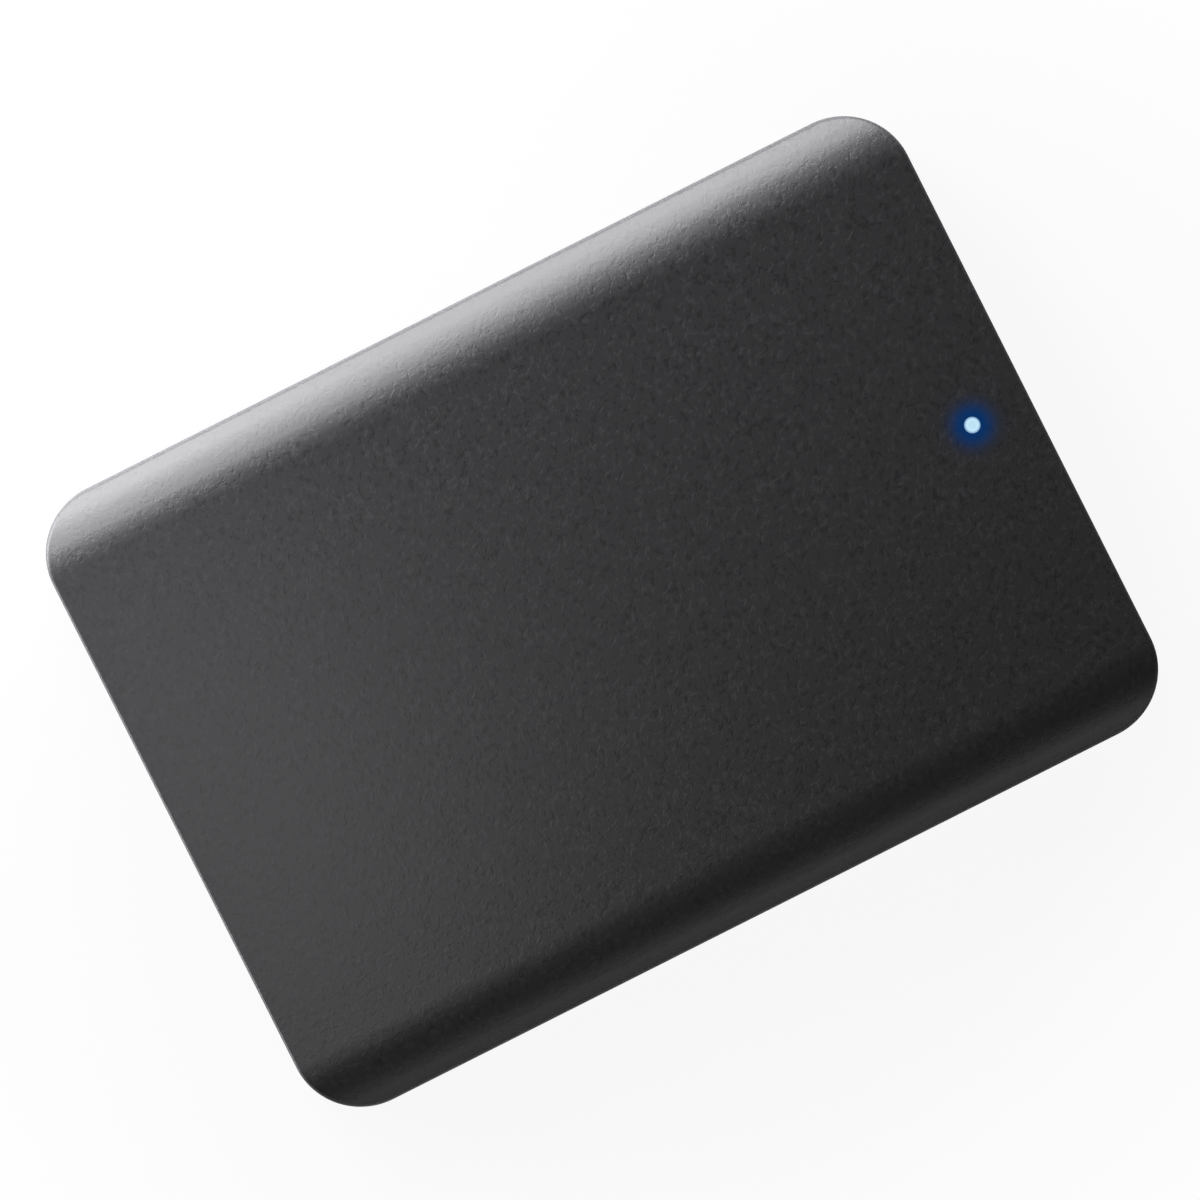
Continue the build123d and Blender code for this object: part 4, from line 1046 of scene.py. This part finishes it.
@dataclass
class Socket:
    """Data socket at the end of the case: folded steel shell and moulded tongues."""

    sheet: float = 0.25 * MM
    lobe: float = 7.2 * MM
    notch: float = 0.8 * MM
    notch_depth: float = 0.7 * MM
    chamfer: float = 0.6 * MM
    fold_round: float = 0.3 * MM
    fold_steps: int = 4
    rim_round: float = 0.06 * MM
    tongue_round: float = 0.15 * MM
    tongue_steps: int = 3
    tongue_block: float = 1.4 * MM
    tongue_thickness: float = 0.6 * MM
    contact_sink: float = 0.05 * MM
    blades: tuple[tuple[float, float], ...] = ((-5.2 * MM, 0.1 * MM), (2.8 * MM, 5.2 * MM))
    steel: Finish = Toothed.metal("socket_sheet", (0.62, 0.62, 0.62), 0.28)
    plastic: Finish = Toothed("socket_black", (0.016, 0.016, 0.017), 0.45, 0.2 * MM, 0.003 * MM)

    def mouth(self, inset: float, back: float, front: float) -> bpy.types.Object:
        """Block with the socket's outline.

        Args:
            inset: How far the outline is drawn in.
            back: Where the block starts along X.
            front: Where the block ends along X.

        Returns:
            The block.
        """
        low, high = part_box("socket_shell")
        start = Vector((back, low.y + inset, low.z + inset))
        end = Vector((front, high.y - inset, high.z - inset))
        block = Bench.block("mouth", start, end)
        wide = low.y + self.lobe
        gap_start = Vector((back - self.lobe, wide - inset, high.z - self.notch_depth - inset))
        gap_end = Vector((front + self.lobe, wide + self.notch + inset, high.z + self.lobe))
        Bench.combine(block, Bench.block("gap", gap_start, gap_end), Solver.CUT)

        def shoulder(a: Vector, b: Vector) -> bool:
            along = abs(a.x - b.x) > self.lobe / 2 and abs(a.z - end.z) < NEAR
            return along and min(abs(a.y - side) for side in (start.y, wide - inset)) < NEAR

        Bench.round_edges(block, self.chamfer, 1, shoulder)

        def fold(a: Vector, b: Vector) -> bool:
            along = abs(a.x - b.x) > self.lobe / 2
            return along and min(abs(a.y - side) for side in (start.y, end.y)) < NEAR

        Bench.round_edges(block, self.fold_round - inset, self.fold_steps, fold)
        return block

    def build_shell(self) -> None:
        """Model and dress the folded shell."""
        low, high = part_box("socket_shell")
        shell = self.mouth(0.0, low.x, high.x)
        Bench.combine(shell, self.mouth(self.sheet, low.x + self.sheet, high.x + self.lobe), Solver.CUT)
        Bench.clean(shell)
        Bench.round_edges(shell, self.rim_round, FINE_STEPS, lambda a, b: min(a.x, b.x) > high.x - NEAR)
        shell.name = "socket_shell_folded"
        place(shell, self.steel, Body.CASE, "socket_steel", "socket_shell")

    def build_tongue(self) -> None:
        """Model and dress the two tongues on their block."""
        low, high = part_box("socket_tongue")
        middle = Vector((low.x + self.tongue_block, high.y, high.z))
        tongue = Bench.block("socket_tongue_moulding", low, middle)
        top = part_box("socket_contacts")[0].z + self.contact_sink
        tip = high.x - NEAR
        for left, right in self.blades:
            start = Vector((low.x, left, top - self.tongue_thickness))
            blade = Bench.block("blade", start, Vector((high.x, right, top)))
            Bench.round_edges(blade, self.tongue_round, self.tongue_steps, lambda a, b: min(a.x, b.x) > tip)
            Bench.combine(tongue, blade, Solver.JOIN)
        Bench.clean(tongue)
        place(tongue, self.plastic, Body.CASE, "socket_plastic", "socket_tongue")

    def build(self) -> None:
        """Model and dress the socket."""
        self.build_shell()
        self.build_tongue()


@dataclass
class FlexCable:
    """Standing ribbon from its bracket on the base to the arm."""

    thickness: float = 0.12 * MM
    bend: float = 4.0 * MM
    bend_steps: int = 10
    run_steps: int = 14
    smooth_angle: float = 40.0
    finish: Finish = Toothed("flex_film_amber", (0.55, 0.28, 0.06), 0.25, 0.6 * MM, 0.001 * MM)

    def ribbon(self, low: Vector, high: Vector) -> bpy.types.Object:
        """Model the ribbon: one run from the bracket, a bend, and a run to the arm.

        Args:
            low: Lowest corner of the solid that it stands for.
            high: Highest corner of that solid.

        Returns:
            The ribbon.
        """
        turn_at = low.x + self.thickness / 2 + self.bend
        ribbon = Bench.block("flex_ribbon", Vector((turn_at, high.y - self.thickness, low.z)), high)
        Bench.pick_faces(ribbon, lambda middle, normal: normal.x < -UPRIGHT)
        centre = (turn_at, high.y - self.thickness / 2 - self.bend, low.z)
        step = -math.pi / 2 / self.bend_steps
        for _ in range(self.bend_steps):
            bpy.ops.mesh.extrude_region_move()
            bpy.ops.transform.rotate(value=step, orient_axis="Z", center_override=centre)
        run = (centre[1] - low.y) / self.run_steps
        for _ in range(self.run_steps):
            bpy.ops.mesh.extrude_region_move(TRANSFORM_OT_translate={"value": (0.0, -run, 0.0)})
        bpy.ops.object.mode_set(mode="OBJECT")
        Bench.smooth(ribbon, self.smooth_angle)
        return ribbon

    def build(self) -> None:
        """Model and dress the bent ribbon, and hide the solid that it stands for."""
        low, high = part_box("flex_cable")
        ribbon = self.ribbon(low, high)
        dress(ribbon, self.finish.material())
        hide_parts("flex_cable")
        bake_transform(ribbon)
        LOG.info("%s bends with the arm: %d faces", ribbon.name, len(ribbon.data.polygons))


@dataclass
class Insides:
    """Solids inside the case, which keep their shape and get a finish by material slot."""

    metals: dict[str, float] = field(
        default_factory=lambda: {
            "aluminium": 0.42,
            "brushed_steel": 0.36,
            "chrome": 0.15,
            "mirror": 0.06,
            "brass": 0.3,
        }
    )
    roughness: dict[str, float] = field(
        default_factory=lambda: {
            "rubber": 0.85,
            "fabric": 0.95,
            "matte_plastic": 0.6,
            "gloss_plastic": 0.25,
            "ceramic": 0.5,
        }
    )

    def finish(self, row: dict) -> Finish:
        """Finish for one material slot of the record."""
        colour = tuple(row["base_color"])
        kind = row["class"]
        if kind in self.metals:
            return Toothed.metal(row["slot"], colour, self.metals[kind])
        return Toothed(row["slot"], colour, self.roughness[kind])

    def build(self, frame: dict) -> None:
        """Dress every solid that no piece stands for.
        """
        rows = {row["slot"]: row for row in frame["record"]["materials"]}
        slots = {part["node"]: part["material_slot"] for part in frame["record"]["subparts"]}
        finishes: dict[str, bpy.types.Material] = {}
        for name, node in frame["nodes"].items():
            slot = slots[name]
            if node.hide_render:
                continue
            if slot not in finishes:
                finishes[slot] = self.finish(rows[slot]).material()
            dress(node, finishes[slot])
            LOG.info("%s keeps its solid, dressed as %s", name, slot)


@dataclass(frozen=True)
class SoftBox:
    """One soft lamp that looks at the middle of the drive, with its angles in degrees."""

    name: str
    azimuth: float
    elevation: float
    distance: float
    width: float
    height: float
    power: float
    colour: Colour = (1.0, 0.993, 1.02)

    def build(self) -> None:
        """Add the lamp."""
        turn = math.radians(self.azimuth)
        rise = math.radians(self.elevation)
        flat = math.cos(rise)
        away = Vector((math.cos(turn) * flat, math.sin(turn) * flat, math.sin(rise)))
        bpy.ops.object.light_add(type="AREA", location=away * self.distance)
        lamp = bpy.context.active_object
        lamp.name = self.name
        lamp.rotation_euler = away.to_track_quat("Z", "Y").to_euler()
        lamp.data.shape = "RECTANGLE"
        lamp.data.size = self.width
        lamp.data.size_y = self.height
        lamp.data.energy = self.power
        lamp.data.color = self.colour
        lamp.visible_camera = False
        LOG.info("lamp %s: %.4f W", self.name, self.power)


@dataclass
class Studio:
    """Floor, background, lamps and camera."""

    frame_width: float = 136.73 * MM
    lens: float = 526.0
    sensor: float = 36.0
    turn: float = CAMERA_TURN
    aim: tuple[float, float] = (0.38 * MM, 1.278 * MM)
    clip: tuple[float, float] = (0.1, 20.0)
    floor_size: float = 6.0
    floor_grain: float = 30 * MM
    floor_stops: tuple[tuple[float, float], ...] = ((0.2, 0.79), (0.8, 0.81))
    floor_roughness: float = 0.9
    floor_gloss: float = 0.1
    white: float = 0.92
    fade_start: float = 60.0 * MM
    fade_width: float = 50.0 * MM
    glossy_white: float = 0.06
    # Each lamp's name, azimuth, elevation, distance, width, height and power.
    lamps: tuple[SoftBox, ...] = (
        SoftBox("far_right_window", 80.0, 20.0, 0.22, 0.132, 0.154, 0.308),
        SoftBox("far_window", 95.0, 14.7, 0.165, 0.16, 0.08, 0.093),
        SoftBox("far_left_window", 125.0, 14.7, 0.165, 0.16, 0.08, 0.247),
        SoftBox("far_high_card", 110.0, 45.0, 0.3, 0.14, 0.1, 0.259),
        SoftBox("left_low_card", 180.0, 12.0, 0.25, 0.1, 0.06, 0.127),
        SoftBox("left_card", 184.0, 62.0, 0.13, 0.1, 0.06, 0.0128),
        SoftBox("left_high_card", 180.0, 75.0, 0.13, 0.05, 0.05, 0.0028),
        SoftBox("near_low_card", -86.0, 15.0, 0.5, 0.4, 0.1, 0.079),
        SoftBox("near_card", -86.0, 25.0, 0.5, 0.4, 0.1, 0.047),
        SoftBox("under_card", 0.0, -90.0, 0.3, 0.5, 0.5, 4.0),
    )

    def light_share(self, paint: Paint) -> Value:
        """Share of plain white that a ray sees: full for the camera, less for reflections."""
        path = paint.node("ShaderNodeLightPath")
        soft = path.value("Is Glossy Ray") + path.value("Is Transmission Ray")
        return (path.value("Is Camera Ray") + soft * self.glossy_white).at_most(1.0)

    def build_floor(self) -> None:
        """Pale floor that shows the drive's shadow, turns white away from it and is open from below."""
        bpy.ops.object.select_all(action="DESELECT")
        bpy.ops.mesh.primitive_plane_add(size=self.floor_size)
        floor = bpy.context.active_object
        floor.name = "floor"
        paint = Paint.named("pale_floor")
        stops = [(at, (grey, grey, grey)) for at, grey in self.floor_stops]
        matt = paint.surface(
            {
                "Base Color": paint.ramp(paint.grain(self.floor_grain), stops),
                "Roughness": self.floor_roughness,
                "Specular IOR Level": self.floor_gloss,
            }
        )
        glow = paint.node("ShaderNodeEmission", None, {"Color": opaque(WHITE), "Strength": 1.0})
        away = (paint.distance_from(Vector()) - self.fade_start) / self.fade_width
        share = self.light_share(paint) * (away.clamped() * (1.0 - self.white) + self.white)
        upper = paint.node("ShaderNodeMixShader", None, {0: share, 1: matt, 2: glow})
        below = paint.node("ShaderNodeNewGeometry").value("Backfacing")
        shadow = paint.node("ShaderNodeLightPath").value("Is Shadow Ray")
        see_through = (below + shadow).at_most(1.0)
        clear = paint.node("ShaderNodeBsdfTransparent")
        both = paint.node("ShaderNodeMixShader", None, {0: see_through, 1: upper, 2: clear})
        dress(floor, paint.close(both))

    def build_world(self) -> None:
        """No light of its own, white where the camera looks past the floor and faint in reflections."""
        world = bpy.data.worlds.new("room")
        bpy.context.scene.world = world
        paint = Paint(world)
        links = {"Color": opaque(WHITE), "Strength": self.light_share(paint)}
        light = paint.node("ShaderNodeBackground", None, links)
        paint.node("ShaderNodeOutputWorld", None, {"Surface": light})

    def build_camera(self) -> None:
        """Camera straight above the drive, far enough away that edges stay all but parallel."""
        half = math.atan(self.sensor / 2 / self.lens)
        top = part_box("top_cover")[1].z
        height = top + self.frame_width / 2 / math.tan(half)
        rotation = (0.0, 0.0, math.radians(self.turn))
        bpy.ops.object.camera_add(location=(*self.aim, height), rotation=rotation)
        camera = bpy.context.active_object
        camera.name = "camera"
        camera.data.lens = self.lens
        camera.data.sensor_width = self.sensor
        camera.data.clip_start, camera.data.clip_end = self.clip
        bpy.context.scene.camera = camera

    def build(self) -> None:
        """Set up the whole studio."""
        bpy.context.scene.view_settings.view_transform = "Standard"
        self.build_floor()
        self.build_world()
        for lamp in self.lamps:
            lamp.build()
        self.build_camera()


def main() -> None:
    """Load the frame, model and dress the drive, and set up the studio."""
    logging.basicConfig(level=logging.INFO, format="%(name)s: %(message)s")
    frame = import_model()
    Case().build()
    StatusLight().build()
    Feet().build()
    Socket().build()
    FlexCable().build()
    Insides().build(frame)
    Studio().build()


if __name__ == "__main__":
    main()
